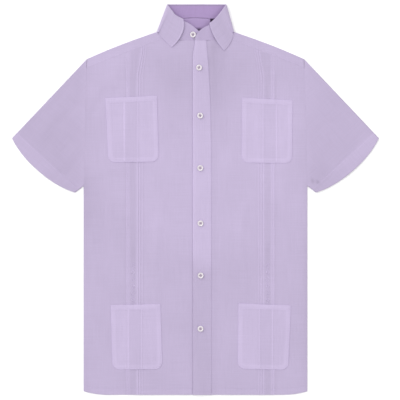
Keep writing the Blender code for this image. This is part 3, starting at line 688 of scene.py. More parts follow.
def front_lines(side):
    """A front's vertical lines from the side seam to its free edge, as functions of y."""

    def fixed(offset):
        return lambda y: CENTRE_X + side * slanted(offset, y)

    def from_side(inset):
        return lambda y: side * (side_x(y) - inset)

    lines = [from_side(inset) for inset in EDGE_STEPS + (4.0, 8.0, 13.0)]
    offsets = [tuck["crest"] + tuck["faces"] * step for tuck in TUCKS for step in TUCK_STEPS]
    offsets += CENTRE_BAND_LINES
    offsets = sorted(set(round(offset, 3) for offset in offsets), reverse=True)
    lines += between(lines[-1], fixed(offsets[0] + 3), 13 if side < 0 else 9)
    lines += [fixed(offset) for offset in offsets]
    upright = fixed(SLANTED[0][0])
    lines += between(fixed(offsets[-1]), upright, 4) + [upright]
    if side < 0:
        free = [lambda y, i=inset: UNDER_EDGE_X - i for inset in reversed(EDGE_STEPS)]
        return lines + between(upright, free[0], 26) + free
    near, far = OVER_STEP_X
    step = [fixed(mix(far, near, share / 4) - CENTRE_X) for share in range(5)]
    free = [lambda y, i=inset: over_edge_x(y) + i for inset in reversed(EDGE_STEPS)]
    lines += between(upright, step[0], 15) + step
    return lines + between(step[-1], free[0], 8) + free


def centre_band_light(y):
    """The plain band shows the layer beneath, most of all above the embroidery."""
    deepest = math.exp(-(((y + 113) / 24) ** 2))
    return -0.05 - 0.035 * deepest


front_middle = 172
front_rows = len(HEM_STEPS) + front_middle + len(EDGE_STEPS)

# Painted shade and light for broad faint hollows and swells of the laid fronts.
PAINTED_DRAPE_SHADES = (
    {"x": 15.0, "y": 262.0, "wide": 110.0, "tall": 80.0, "light": -0.115},
    {"x": -232.0, "y": -30.0, "wide": 60.0, "tall": 65.0, "light": -0.09},
    {"x": -160.0, "y": -65.0, "wide": 40.0, "tall": 42.0, "light": -0.045},
    {"x": 160.0, "y": 115.0, "wide": 45.0, "tall": 85.0, "light": 0.05},
    {"x": 150.0, "y": -175.0, "wide": 22.0, "tall": 30.0, "light": 0.045},
    {"x": -121.0, "y": -170.0, "wide": 22.0, "tall": 34.0, "light": 0.04},
)

# The shade beside each armhole, and two creases of shade under the left collar point.
ARMHOLE_SHADE = {-1: 0.07, 1: 0.036}
COLLAR_SHADES = (
    {"from": (30, 286), "to": (36, 326), "width": 12, "shade": 0.045},
    {"from": (40, 322), "to": (60, 306), "width": 9, "shade": 0.03},
)


def painted_drape_shade(x, y):
    """The painted shade and light that stand for the hollows and swells."""
    light = 0.0
    for tone in PAINTED_DRAPE_SHADES:
        across, along = (x - tone["x"]) / tone["wide"], (y - tone["y"]) / tone["tall"]
        light += tone["light"] * math.exp(-(across**2) - along**2)
    return light


def front_surface(side, x, y, offset):
    """Top face of a front with its tucks, and its lightness."""
    height, light = tuck_profile(offset, y, TUCKS)
    low, high = CENTRE_BAND
    if low < offset < high:
        light += centre_band_light(y)
    side_gap, _, fold = seam_distances(x, y)
    # Painted shade where the cloth rounds over the side seams and the shoulder folds.
    light -= 0.05 * math.exp(-side_gap / 8) + 0.02 * math.exp(-fold / 10)
    if y > UNDERARM_Y - 30:
        near = math.exp(-(side_x(y) - abs(x)) / 24)
        light -= ARMHOLE_SHADE[side] * near * ease((y - UNDERARM_Y + 30) / 30)
    light -= LOWER_TONE * ease((LOWER_TONE_Y - y) / LOWER_TONE_REACH)
    if side > 0 and y > 230:
        for crease in COLLAR_SHADES:
            reach = segment_distance(x, y, crease["from"], crease["to"]) / crease["width"]
            light -= crease["shade"] * math.exp(-(reach**2))
    base = body_z(x, y) + (over_step(x) if side > 0 else 0.0)
    return base, height, 1.0 + light + painted_drape_shade(x, y)


def front_height(side, x, y, offset=None):
    """Height of a front's cloth with its tucks."""
    if offset is None:
        offset = abs(x - CENTRE_X)
    base, raised, _ = front_surface(side, x, y, offset)
    return base + raised


def make_front(name, side):
    lines = front_lines(side)
    offsets = [max(0.0, side * (line(0.0) - CENTRE_X)) for line in lines]

    def point(column, row, face):
        line = lines[column]
        low = hem_y(line(HEM_Y))
        high = SLANT_END_Y
        for _ in range(4):
            high = front_top_y(line(high)) - 0.02
        y = graded(row, low, high, HEM_STEPS, front_middle, EDGE_STEPS)
        x = line(y)
        base, height, light = front_surface(side, x, y, offsets[column])
        if not face:
            return x, y, base - CLOTH, light
        free = UNDER_EDGE_X - x if side < 0 else x - over_edge_x(y)
        folded = max(folded_edge(y - hem_y(x)), 1.6 * folded_edge(free))
        dip = max(folded, 0.08 * folded_edge(min(side_x(y) - abs(x), high - y)))
        dip += stitch_dip(y - low - HEM_DEPTH)
        # The doubled hem is a little paler, and painted shade falls where the hem and the free edge
        # round down.
        light += 0.012 if y < low + HEM_DEPTH else 0.0
        return x, y, base + height - dip, light - 0.05 * folded

    return shell(name, point, len(lines), front_rows, body_cloth)


def tuck_stitches(side):
    """The row along each tuck's root, from the hem to the yoke seam."""
    rows = []
    for tuck in TUCKS:
        offset = tuck["crest"] - tuck["faces"] * (TUCK_WIDTH - TUCK_SEWN_IN)
        top_x = CENTRE_X + side * slanted(offset, SLANT_END_Y)
        high = min(tuck["top_y"] + 34, front_top_y(top_x) - 3)
        low = hem_y(CENTRE_X + side * offset) + 2
        levels = [low + (high - HEM_Y - 2) * number / 60 for number in range(61)]
        path = [(CENTRE_X + side * slanted(offset, y), y) for y in levels]
        rows += stitches(*along_line(path, partial(front_height, side, offset=offset)))
    return rows


def band_embroidery(side):
    """Rings and lozenges of satin stitch down the plain band, in the shirt's own colour."""
    rows = []
    middle = CENTRE_X + side * sum(CENTRE_BAND) / 2

    def satin(*ends):
        start, end = (Vector((x, y, front_height(side, x, y))) for x, y in ends)
        rows.append([start, (start + end) / 2 + Vector((0, 0, 0.3)), end])

    for number in range(6):
        centre_y = SPRIG_TOP_Y - SPRIG_SPACING * number
        if number % 2 == 0:
            for step in range(26):
                turn = math.tau * step / 26
                across, along = math.cos(turn), 1.15 * math.sin(turn)
                satin(*((middle + r * across, centre_y + r * along) for r in (2.6, 4.3)))
        else:
            for step in range(-10, 11):
                half = 4.2 * (1 - abs(step) / 10.5)
                level = centre_y + 0.62 * step
                satin((middle - half, level - 0.5), (middle - half * 0.35, level + 0.3))
                satin((middle + half * 0.35, level + 0.3), (middle + half, level - 0.5))
    return rows


def front_hem_stitches(side):
    """The row along a front's turned-up hem, from the side seam to its free edge."""

    def height(x, y):
        return front_height(side, x, y) - 0.2

    ends = sorted((side * HEM_SEWN_HALF, 27 if side < 0 else -3))
    path = [(x, hem_y(x) + HEM_DEPTH) for x in range(*ends, 2)]
    return stitches(*along_line(path, height))


for front_name, side in (("front_right", -1), ("front_left", 1)):
    front = make_front(front_name + "_panel", side)
    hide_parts(front_name)
    tuck_rows, hem_rows = tuck_stitches(side), front_hem_stitches(side)
    tuck_sewing = sewn(front_name + "_tuck_stitches", tuck_rows, TUCK_THREAD, lilac_thread)
    sprigs = sewn(front_name + "_embroidery", band_embroidery(side), SPRIG_THREAD, lilac_thread)
    hem_sewing = sewn(front_name + "_hem_stitches", hem_rows, SEAM_THREAD, lilac_thread)
    (front_top_y(YOKE_FRONT_NECK) - HEM_Y) * MM


# ===================================================================== placket
# The buttonhole placket is a folded strip, stitched on down both of its sides over
# the left front's free edge. Its two more layers make it a little paler than the body,
# and it is painted lighter still in its upper part, darker low down and light along its edges.

GAP = 0.25
PLACKET_STITCHED = (
    {"y": -410.5, "x": 33.5},
    {"y": 100.0, "x": 33.0},
    {"y": 209.0, "x": 31.0},
    {"y": 280.0, "x": 27.3},
    {"y": 314.0, "x": 24.2},
    {"y": 334.0, "x": 22.5},
)
PLACKET_SEWN_IN = 2.6
PLACKET_LIGHT, PLACKET_LOW_LIGHT = 0.055, -0.075
FREE_EDGE_LIGHT, STITCHED_EDGE_LIGHT = 0.34, 0.22
FREE_EDGE_ROUND, STITCHED_EDGE_ROUND = 2.4, 1.4
PLACKET_STEPS, PLACKET_ACROSS, PLACKET_DOWN = EDGE_STEPS + (PLACKET_SEWN_IN, 3.8), 8, 184
double_cloth = woven_cloth("lilac_linen_doubled", LILAC, sheen=0.26)


def read_table(rows, key, value, wanted):
    """Straight-line reading of a table whose key column rises."""
    if value <= rows[0][key]:
        return rows[0][wanted]
    for low, high in zip(rows, rows[1:]):
        if value <= high[key]:
            return mix(low[wanted], high[wanted], (value - low[key]) / (high[key] - low[key]))
    return rows[-1][wanted]


def placket_edges(y):
    return over_edge_x(y), read_table(PLACKET_STITCHED, "y", y, "x")


def placket_z(x, y):
    """Top face of the placket."""
    free, stitched = placket_edges(y)
    inward = min(x - free, stitched - x, y - HEM_Y)
    rounding = FREE_EDGE_ROUND if inward == x - free else STITCHED_EDGE_ROUND
    dip = rounding * folded_edge(inward) + stitch_dip(inward - PLACKET_SEWN_IN)
    pucker = 0.10 * noise.noise(Vector((x / 9, y / 7, 5.0))) * math.exp(-max(0.0, inward) / 6)
    return body_z(x, y) + over_step(x) + GAP + 1.0 - dip + pucker


def placket_point(column, row, face):
    y = graded(row, HEM_Y, FRONT_NECK_Y - 0.15, EDGE_STEPS, PLACKET_DOWN, EDGE_STEPS)
    free, stitched = placket_edges(y)
    x = graded(column, free, stitched, PLACKET_STEPS, PLACKET_ACROSS, PLACKET_STEPS)
    # Painted lighter in the upper part and darker low down, with a painted highlight just inside
    # the stitched edge.
    light = 1.0 + mix(PLACKET_LOW_LIGHT, PLACKET_LIGHT, ease((y + 175) / 70))
    light += 0.5 * painted_drape_shade(x, y) + 0.014 * math.exp(-(((x - stitched + 5) / 3) ** 2))
    # Painted highlights on the edge walls, which lift the shadow beside them.
    edge_light = 0.03 * math.exp(-(((x - free - 2) / 2.5) ** 2))
    edge_light += FREE_EDGE_LIGHT if x - free < 0.3 else 0.0
    light += edge_light * ease((y + 160) / 90)
    light += STITCHED_EDGE_LIGHT if stitched - x < 0.3 else 0.0
    if not face:
        return x, y, body_z(x, y) + over_step(x) + 0.1, light
    return x, y, placket_z(x, y), light


placket_columns = 2 * len(PLACKET_STEPS) + PLACKET_ACROSS
placket_rows = 2 * len(EDGE_STEPS) + PLACKET_DOWN
placket = shell("placket_strip", placket_point, placket_columns, placket_rows, double_cloth)
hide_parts("placket")
placket_sewing = []
placket_levels = [HEM_Y + 2 + 12.2 * number for number in range(61)]
for edge, inset in ((0, PLACKET_SEWN_IN), (1, -PLACKET_SEWN_IN)):
    path = [(placket_edges(y)[edge] + inset, y) for y in placket_levels]
    placket_sewing += stitches(*along_line(path, placket_z))
placket_stitches = sewn("placket_stitches", placket_sewing, EDGE_THREAD, lilac_thread)


# ===================================================================== pockets
# Four patch pockets, two at the chest and two near the hem. Each has a turned top
# hem, rounded lower corners, its raw edge turned in all round and two tucks of
# its own, and is stitched to the front over the front's tucks.

POCKET_TOP_HEM = 9.5
POCKET_TURNED = 8.5
POCKET_SEWN_IN = 1.9
POCKET_LIGHT, POCKET_DOUBLE_LIGHT, POCKET_BAND_SHADE, POCKET_RIM_LIGHT = 0.045, 0.045, 0.045, 0.22
POCKET_STEPS = EDGE_STEPS + (2.3, 3.2, 4.6, 6.5, 8.5, 10.2)
POCKET_TOP_STEPS = EDGE_STEPS + (2.3, 3.2, 8.4, 9.5, 10.4, 11.4)
POCKETS = (
    {
        "name": "pocket_chest_right", "side": -1, "corner": 15.0, "tucks": (161.2, 130.4),
        "top_left": (-189.0, 212.5), "top_right": (-81.0, 217.8),
        "low_left": (-182.5, 78.0), "low_right": (-77.0, 79.5),
    },
    {
        "name": "pocket_chest_left", "side": 1, "corner": 14.0, "tucks": (161.2, 130.4),
        "top_left": (98.0, 213.8), "top_right": (203.9, 207.7),
        "low_left": (97.4, 77.5), "low_right": (202.2, 76.2),
    },
    {
        "name": "pocket_lower_right", "side": -1, "corner": 16.0, "tucks": (152.7, 122.5),
        "top_left": (-177.9, -221.8), "top_right": (-73.5, -219.5),
        "low_left": (-174.0, -357.0), "low_right": (-69.7, -356.0),
    },
    {
        "name": "pocket_lower_left", "side": 1, "corner": 15.0, "tucks": (152.7, 122.5),
        "top_left": (90.4, -218.2), "top_right": (200.3, -222.6),
        "low_left": (88.6, -355.0), "low_right": (194.4, -357.5),
    },
)
POCKET_TUCK_STEPS = (-3.4, -2.4, -1.3, -0.5, 0.0, 0.14, 0.8)


def pocket_edges(pocket):
    """The pocket's four edges: left and right by y, top and bottom by x."""

    def straight(start, end, key):
        """x by y (key 1) or y by x (key 0) on the line through two corners."""
        (a, b), (c, d) = (start, end) if key == 0 else (start[::-1], end[::-1])
        return lambda value: mix(b, d, (value - a) / (c - a))

    return {
        "left": straight(pocket["low_left"], pocket["top_left"], 1),
        "right": straight(pocket["low_right"], pocket["top_right"], 1),
        "top": straight(pocket["top_left"], pocket["top_right"], 0),
        "bottom": straight(pocket["low_left"], pocket["low_right"], 0),
    }


def pocket_inward(pocket, edges, x, y):
    """Distance in from the pocket's outline, round its lower corners too."""
    corner = pocket["corner"]
    left, right = x - edges["left"](y), edges["right"](y) - x
    low, high = y - edges["bottom"](x), edges["top"](x) - y
    if low < corner and min(left, right) < corner:
        round_in = corner - math.hypot(corner - min(left, right), corner - low)
        return min(round_in, high), high
    return min(left, right, low, high), high


def over_tucks(offset):
    """The pocket rides up over the front's two groups of tucks."""
    return TUCK_HEIGHT * (ease((offset - 112) / 7) - ease((offset - 156) / 7))


def pocket_surface(pocket, edges, x, y):
    """Top face and lightness of a pocket: paler where doubled, with painted highlights and
    shadows at its tucks, a painted shadow under its top hem and a painted highlight on its rim.
    """
    offset = abs(x - CENTRE_X)
    inward, from_top = pocket_inward(pocket, edges, x, y)
    under = body_z(x, y) + over_tucks(offset)
    full = 0.4 * ease(inward / 26)
    top = under + GAP + 0.6 + full - 0.9 * folded_edge(inward) - stitch_dip(inward - POCKET_SEWN_IN)
    outer, inner = pocket["tucks"]
    tucks = (
        {"crest": outer, "faces": 1, "top_y": 400.0},
        {"crest": inner, "faces": -1, "top_y": 400.0},
    )
    light = POCKET_LIGHT
    height, tuck_light = tuck_profile(offset, y, tucks)
    if from_top > POCKET_TOP_HEM and inward > 3:
        top += 0.5 * height
        light += tuck_light
        if inner < offset < outer - TUCK_WIDTH:
            light -= POCKET_BAND_SHADE
    turned = 1 - ease((inward - POCKET_TURNED) / 1.6)
    hem = 1 - ease((from_top - POCKET_TOP_HEM) / 1.6)
    double = max(turned, hem)
    top += 0.22 * double - stitch_dip(from_top - POCKET_TOP_HEM)
    # Paler where the cloth is doubled, and a painted shadow line just under the top hem.
    below_hem = (from_top - POCKET_TOP_HEM - 1.5) / 1.5
    light += POCKET_DOUBLE_LIGHT * double - 0.02 * math.exp(-(below_hem**2))
    # Painted highlight on the pocket's edge wall.
    light += POCKET_RIM_LIGHT * ease((0.5 - inward) / 0.5)
    return under, top, 1.0 + light + 0.6 * painted_drape_shade(x, y)


def pocket_height(pocket, edges, x, y):
    return pocket_surface(pocket, edges, x, y)[1]


def pocket_lines(pocket, edges):
    """A pocket's vertical lines from left to right, as functions of y."""
    near = POCKET_STEPS + (12.6, 15.5)
    side = pocket["side"]
    tucks = []
    for crest, faces in zip(pocket["tucks"], (1, -1)):
        places = sorted(CENTRE_X + side * (crest + faces * step) for step in POCKET_TUCK_STEPS)
        tucks.append([lambda y, x=x: x for x in places])
    tucks.sort(key=lambda group: group[0](0))
    left = [lambda y, i=inset: edges["left"](y) + i for inset in near]
    right = [lambda y, i=inset: edges["right"](y) - i for inset in reversed(near)]
    lines = left + between(left[-1], tucks[0][0], 4) + tucks[0]
    lines += between(tucks[0][-1], tucks[1][0], 8) + tucks[1]
    return lines + between(tucks[1][-1], right[0], 5) + right


def make_pocket(pocket):
    edges = pocket_edges(pocket)
    lines = pocket_lines(pocket, edges)
    middle = 34
    rows = len(POCKET_STEPS) + middle + len(POCKET_TOP_STEPS)
    corner = pocket["corner"]
    level = edges["top"](pocket["top_left"][0])

    def point(column, row, face):
        line = lines[column]
        x = line(level)
        bottom = edges["bottom"](x)
        inset = min(line(bottom) - edges["left"](bottom), edges["right"](bottom) - line(bottom))
        if inset < corner:
            bottom += corner - math.sqrt(max(0.0, corner**2 - (corner - inset) ** 2))
        y = graded(row, bottom, edges["top"](x), POCKET_STEPS, middle, POCKET_TOP_STEPS)
        x = line(y)
        under, top, light = pocket_surface(pocket, edges, x, y)
        return x, y, (top if face else under + 0.1), light

    return shell(pocket["name"] + "_patch", point, len(lines), rows, double_cloth)


def pocket_stitches(pocket):
    """One row down, round and up the pocket, one under its top hem, and its tucks' rows."""
    edges = pocket_edges(pocket)
    height = partial(pocket_height, pocket, edges)
    top, bottom, corner = edges["top"], edges["bottom"], pocket["corner"]
    arc_y = pocket["low_left"][1] + corner
    turn = corner - POCKET_SEWN_IN

    def down_side(which, way):
        """From the top down the left (1) or right (-1) side, and round its lower corner."""
        edge, high = edges[which], pocket["top_" + which][1] - 2
        levels = [mix(arc_y, high, number / 22) for number in range(22, 0, -1)]
        run = [(edge(y) + way * POCKET_SEWN_IN, y) for y in levels]
        x = edge(arc_y) + way * corner
        y = bottom(pocket["low_" + which][0] + way * corner) + corner
        angles = [math.pi / 2 * step / 6 for step in range(7)]
        return run + [(x - way * turn * math.cos(a), y - turn * math.sin(a)) for a in angles]

    path = down_side("left", 1) + down_side("right", -1)[::-1]
    rows = stitches(*along_line(path, height))
    start, end = pocket["top_left"][0] + 2, pocket["top_right"][0] - 2
    across = [mix(start, end, number / 30) for number in range(31)]
    rows += stitches(*along_line([(x, top(x) - POCKET_TOP_HEM) for x in across], height))
    for crest, faces in zip(pocket["tucks"], (1, -1)):
        x = CENTRE_X + pocket["side"] * (crest - faces * (TUCK_WIDTH - TUCK_SEWN_IN))
        low, high = bottom(x) + 4, top(x) - POCKET_TOP_HEM - 1
        path = [(x, mix(low, high, number / 16)) for number in range(17)]
        rows += stitches(*along_line(path, height))
    return rows


for pocket in POCKETS:
    patch = make_pocket(pocket)
    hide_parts(pocket["name"])
    sewing = sewn(pocket["name"] + "_stitches", pocket_stitches(pocket), EDGE_THREAD, lilac_thread)


# ======================================================================== yoke
# The yoke joins the fronts to the back over the shoulders. It lies under the
# neckline at the back, turns over the shoulders and ends in a straight seam on
# each front. The seams are pressed up into it and topstitched.

BACK_NECK = (
    {"x": 0.0, "y": 382.0},
    {"x": 25.0, "y": 380.4},
    {"x": 48.0, "y": 375.4},
    {"x": 64.0, "y": 367.4},
    {"x": 73.0, "y": 359.6},
    {"x": 78.5, "y": 351.1},
)
YOKE_SEWN_IN = 2.4
# Painted shade where the yoke turns over the shoulders, and deeper painted shade inside the back
# neck.
YOKE_TURN_LIGHT, YOKE_BACK_LIGHT = 0.96, SHADE_LIGHT + 0.02
NECK_SHADE, NECK_SHADE_X, NECK_SHADE_WIDTH, NECK_SHADE_Y = 0.6, 7.0, 7.0, 362.5
slope = Vector(SHOULDER_POINT) - Vector(NECK_POINT)
SHOULDER_OUT = Vector((-slope.y, slope.x)).normalized()
neck_halves = [0, 2.5, 5, 7.5, 10, 12.5, 15, 18, 22, 27, 32, 40, 48, 56, 64, 69, 73, 76, 78.5]
shoulder_halves = [mix(81, 226.6, number / 36) for number in range(37)] + [227.4, 228.0, 228.3]
yoke_spots = [-half for half in reversed((neck_halves + shoulder_halves)[1:])]
yoke_spots += neck_halves + shoulder_halves
YOKE_BACK_ROWS, YOKE_TURN_ROWS, YOKE_FRONT_ROWS = 36, 9, 12


def turn_radius(at):
    return (body_z(at.x, at.y) - neck_lift(at.x, at.y)) / 2


def neck_shade(x, y):
    """The deep shade in the notch where the collar band's two ends cross."""
    across = (x - NECK_SHADE_X) / NECK_SHADE_WIDTH
    return math.exp(-(across**2)) * ease((NECK_SHADE_Y - y) / 5)


def yoke_point(column, row, face):
    spot = yoke_spots[column]
    sign, half = (-1, abs(spot)) if spot < 0 else (1, spot)
    neck, end = NECK_POINT[0], SHOULDER_POINT[0]
    if half < neck:
        goal = Vector((half, read_table(BACK_NECK, "x", half, "y")))
    else:
        edge = Vector((half, shoulder_y(half)))
        goal = edge - SHOULDER_OUT * turn_radius(edge)
    if row < YOKE_BACK_ROWS:
        share = (row / YOKE_BACK_ROWS) ** 0.7
        x, y = mix(half, goal.x, share), mix(BACK_SEAM_Y + 0.15, goal.y, share)
        drop = 0.5 * folded_edge(y - BACK_SEAM_Y - 0.15)
        light = PLAIN_LIGHT
        if face:
            # Inside the back neck the top face is painted in shade, deepest in the notch.
            light = YOKE_BACK_LIGHT + 0.07 * math.exp(-(((goal.y - y) / 2.5) ** 2))
            light -= NECK_SHADE * neck_shade(sign * x, y)
        return sign * x, y, neck_lift(x, y) + (CLOTH - drop if face else 0.0), light
    if row < YOKE_BACK_ROWS + YOKE_TURN_ROWS:
        lift = neck_lift(goal.x, goal.y)
        if half < neck:
            return sign * goal.x, goal.y, lift + CLOTH * face, SHADE_LIGHT
        middle = turn_radius(goal)
        angle = math.pi * ((row - YOKE_BACK_ROWS) / (YOKE_TURN_ROWS - 1) - 0.5)
        reach = middle - CLOTH * face
        across = SHOULDER_OUT * (reach * math.cos(angle))
        z = lift + middle + reach * math.sin(angle)
        return sign * (goal.x + across.x), goal.y + across.y, z, YOKE_TURN_LIGHT
    step = row - YOKE_BACK_ROWS - YOKE_TURN_ROWS
    near = (0.7, 0.25, 0.0)
    fraction = (half - neck) / (end - neck)
    seam_x = mix(YOKE_FRONT_NECK, end, fraction)
    seam_y = front_top_y(seam_x) + 0.02
    even = YOKE_FRONT_ROWS - len(near)
    if step >= even:
        left_to_go = near[step - even]
    else:
        left_to_go = mix(YOKE_FRONT_DROP, near[0], (step + 1) / (even + 1))
    share = 1 - left_to_go / YOKE_FRONT_DROP
    x, y = mix(goal.x, seam_x, share), mix(goal.y, seam_y, share)
    dip = 0.08 * folded_edge(left_to_go) + 0.5 * stitch_dip(left_to_go - YOKE_SEWN_IN)
    outer = body_z(sign * x, y)
    # Painted shade along the shoulder fold.
    light = 1.0 + 0.6 * painted_drape_shade(sign * x, y) - 0.03 * math.exp(-YOKE_FRONT_DROP * share / 7)
    return sign * x, y, outer - (CLOTH if face else dip), max(YOKE_TURN_LIGHT, light)


def yoke_keep(column, row):
    """The neck is cut out beyond the yoke's back layer."""
    return row <= YOKE_BACK_ROWS or abs(yoke_spots[column]) >= NECK_POINT[0]


def yoke_seam_z(x, y):
    return body_z(x, y) - 0.05


yoke_rows = YOKE_BACK_ROWS + YOKE_TURN_ROWS + YOKE_FRONT_ROWS
yoke_cloth = woven_cloth("lilac_linen_yoke", LILAC, shade=SHADED_LILAC)
yoke = shell("yoke_panel", yoke_point, len(yoke_spots), yoke_rows, yoke_cloth, keep=yoke_keep)
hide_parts("yoke")
yoke_sewing = []
for sign in (-1, 1):
    seam = [sign * mix(YOKE_FRONT_NECK + 3, 226, number / 40) for number in range(41)]
    path = [(x, front_top_y(x) + 0.04 + YOKE_SEWN_IN) for x in seam]
    yoke_sewing += stitches(*along_line(path, yoke_seam_z))
yoke_stitches = sewn("yoke_stitches", yoke_sewing, SEAM_THREAD, lilac_thread)


# ===================================================================== sleeves
# Each short sleeve is one piece folded along its top and joined under the arm,
# so it lies as a flattened tube. Its wide hem is turned up and stitched, and it
# is sewn to the body in a straight armhole seam.

SLEEVE_HEM_BOW = 16.0
SLEEVE_HEM_STEP = 0.4
HEM_START_TOP, HEM_START_LOW = 0.936, 0.53
SLEEVE_LIGHT = {-1: -0.1, 1: -0.05}
SLEEVE_HEM_LIGHT, SLEEVE_HEM_DEPTH, SLEEVE_HEM_FALL = 0.05, 22, 1.7
SLEEVE_GRAIN = (0.66, 0.75)
near_fold = (0.0, 0.006, 0.014, 0.028, 0.05, 0.08)
SLEEVE_SHARES = near_fold + tuple(0.11 + 0.78 * number / 27 for number in range(28))
SLEEVE_SHARES += tuple(1 - share for share in reversed(near_fold))
SLEEVE_TURN = 8
SLEEVE_BODY_ROWS = (0.0, 0.003, 0.007)
SLEEVE_BODY_ROWS += tuple(0.012 + 0.97 * number / 42 for number in range(43)) + (0.992, 1.0)
SLEEVE_HEM_ROWS = (0.06, 0.2, 0.36, 0.52, 0.68, 0.84, 0.94, 0.975, 1.0)
FOLD_POINT_TOP = (SHOULDER_POINT[0] + 0.03, SHOULDER_POINT[1])
FOLD_POINT_LOW = (BODY_HALF + 0.03, UNDERARM_Y)


def mix_point(a, b, share):
    return mix(a[0], b[0], share), mix(a[1], b[1], share)


def sleeve_plan(row, share):
    """A place on the sleeve, from its underarm edge (0) to its top edge (1)."""
    if row < len(SLEEVE_BODY_ROWS):
        along = SLEEVE_BODY_ROWS[row]
        top = mix_point(FOLD_POINT_TOP, SLEEVE_TOP_END, along * HEM_START_TOP)
        low = mix_point(FOLD_POINT_LOW, SLEEVE_LOW_END, along * HEM_START_LOW)
        bow = 0.0
    else:
        along = SLEEVE_HEM_ROWS[row - len(SLEEVE_BODY_ROWS)]
        top = mix_point(FOLD_POINT_TOP, SLEEVE_TOP_END, mix(HEM_START_TOP, 1, along))
        low = mix_point(FOLD_POINT_LOW, SLEEVE_LOW_END, mix(HEM_START_LOW, 1, along))
        bow = SLEEVE_HEM_BOW * along
    x, y = mix_point(low, top, share)
    out_x, out_y = top[1] - low[1], low[0] - top[0]
    bulge = bow * (1 - abs(2 * share - 1) ** 2.4) / math.hypot(out_x, out_y)
    return x + out_x * bulge, y + out_y * bulge


def sleeve_z(side, x, y, hem_share):
    """Top face of a sleeve's upper layer. hem_share runs from 0 to 1 across the hem."""
    loose = looseness(*seam_distances(x, y))
    fall = SLEEVE_HEM_FALL * loose * hem_share**2 * (1 + 0.4 * math.sin(x / 11))
    return body_z(side * abs(x), y) - fall


def make_sleeve(name, side):
    layer = len(SLEEVE_SHARES)
    columns = 2 * layer + 2 * (SLEEVE_TURN - 1) + 1
    body_rows = len(SLEEVE_BODY_ROWS)
    rows = body_rows + len(SLEEVE_HEM_ROWS)

    def edge(row, at_top):
        """Centre and radius of the fold at one edge, and the way it faces."""
        x, y = sleeve_plan(row, 1.0 if at_top else 0.0)
        inner_x, inner_y = sleeve_plan(row, 0.9 if at_top else 0.1)
        facing = Vector((x - inner_x, y - inner_y)).normalized()
        radius = sleeve_z(side, x, y, 0.0) / 2
        return Vector((x, y)) - facing * radius, radius, facing

    edges = {(row, top): edge(row, top) for row in range(rows) for top in (True, False)}

    def layer_point(row, share):
        if share in (0.0, 1.0):
            return tuple(edges[row, share == 1.0][0])
        low, top = edges[row, False][0], edges[row, True][0]
        x, y = sleeve_plan(row, share)
        # Close to a fold the lines gather towards its centre.
        pull = max(0.0, 1 - share / 0.08) if share < 0.5 else max(0.0, 1 - (1 - share) / 0.08)
        near = low if share < 0.5 else top
        return mix(x, near.x, pull**2), mix(y, near.y, pull**2)

    def turned(row, at_top, turn_share, wall):
        """A place round the fold at one edge, from its underside to its top."""
        centre, radius, facing = edges[row, at_top]
        angle = math.pi * turn_share
        out = facing * (radius - wall) * math.cos(angle)
        z = radius + (radius - wall) * math.sin(angle)
        return side * (centre.x + out.x), centre.y + out.y, z, 0.98 + SLEEVE_LIGHT[side]

    def point(column, row, face):
        wall = CLOTH * face
        column %= columns - 1
        hem = SLEEVE_HEM_ROWS[row - body_rows] if row >= body_rows else 0.0
        if column < layer:
            x, y = layer_point(row, SLEEVE_SHARES[column])
            return side * x, y, wall, 0.95
        column -= layer
        if column < SLEEVE_TURN - 1:
            return turned(row, True, -0.5 + (column + 1) / SLEEVE_TURN, wall)
        column -= SLEEVE_TURN - 1
        if column >= layer:
            return turned(row, False, 0.5 - (column - layer + 1) / SLEEVE_TURN, wall)
        share = SLEEVE_SHARES[layer - 1 - column]
        x, y = layer_point(row, share)
        inside = ease(min(share, 1 - share) / 0.05)
        fold_top = 2 * edges[row, share > 0.5][1]
        z = mix(fold_top, sleeve_z(side, x, y, hem), inside)
        out = sleeve_plan(row, share)
        start = sleeve_plan(0, share)
        seam = math.hypot(out[0] - start[0], out[1] - start[1])
        light = 1.0 + SLEEVE_LIGHT[side] * (1 - 0.6 * math.exp(-seam / 30))
        if row >= body_rows - 1:
            z += SLEEVE_HEM_STEP * inside
            light += SLEEVE_HEM_LIGHT * mix(0.2, 1.0, ease((share - 0.1) / 0.4))
        if side > 0:
            # Painted shade for a hollow by the underarm, and one sharp painted crease of shade in
            # it.
            light -= 0.06 * math.exp(-(((x - 258) / 26) ** 2) - ((y - 48) / 50) ** 2)
            crease = segment_distance(x, y, (238, 41), (258, 36)) / 2.2
            light -= 0.16 * math.exp(-(crease**2))
        rim = 0.08 * folded_edge(seam)
        if row >= body_rows:
            rim = folded_edge((1 - hem) * SLEEVE_HEM_DEPTH)
        # Painted shade where the cloth rounds down by the armhole seam and at the hem's edge.
        return side * x, y, z - wall - (0 if face else rim), light - 0.04 * rim

    def cut(column, row):
        """The sleeve's weave runs down its length, so it is turned to the body's."""
        x, y, _, _ = point(column, row, 0)
        grain_x, grain_y = SLEEVE_GRAIN
        return grain_x * x - grain_y * side * y, grain_y * side * x + grain_x * y

    return shell(name, point, columns, rows, sleeve_cloth, closed=True, cut=cut)


def sleeve_hem_stitches(side):
    """The hem's row on the upper layer, just inside the turned-up edge."""
    row = len(SLEEVE_BODY_ROWS) - 1
    path = []
    for number in range(41):
        share = 0.03 + 0.94 * number / 40
        x, y = mix_point(sleeve_plan(row, share), sleeve_plan(row + 1, share), 0.8)
        path.append((side * x, y))

    def height(x, y):
        return sleeve_z(side, x, y, 0.0) + SLEEVE_HEM_STEP - 0.05

    return stitches(*along_line(path, height))


sleeve_cloth = woven_cloth("lilac_linen_sleeve", LILAC)
for sleeve_name, side in (("sleeve_right", -1), ("sleeve_left", 1)):
    sleeve = make_sleeve(sleeve_name + "_tube", side)
    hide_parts(sleeve_name)
    hem_rows = sleeve_hem_stitches(side)
    sewing = sewn(sleeve_name + "_hem_stitches", hem_rows, EDGE_THREAD, lilac_thread)


# ================================================================= collar band
# The band stands the collar up. It runs round the neckline, doubles back on
# itself at the shoulders as the shirt lies, and its left end laps over its right
# one, where the top button is. Inside the neck the cloth is in deep shade.

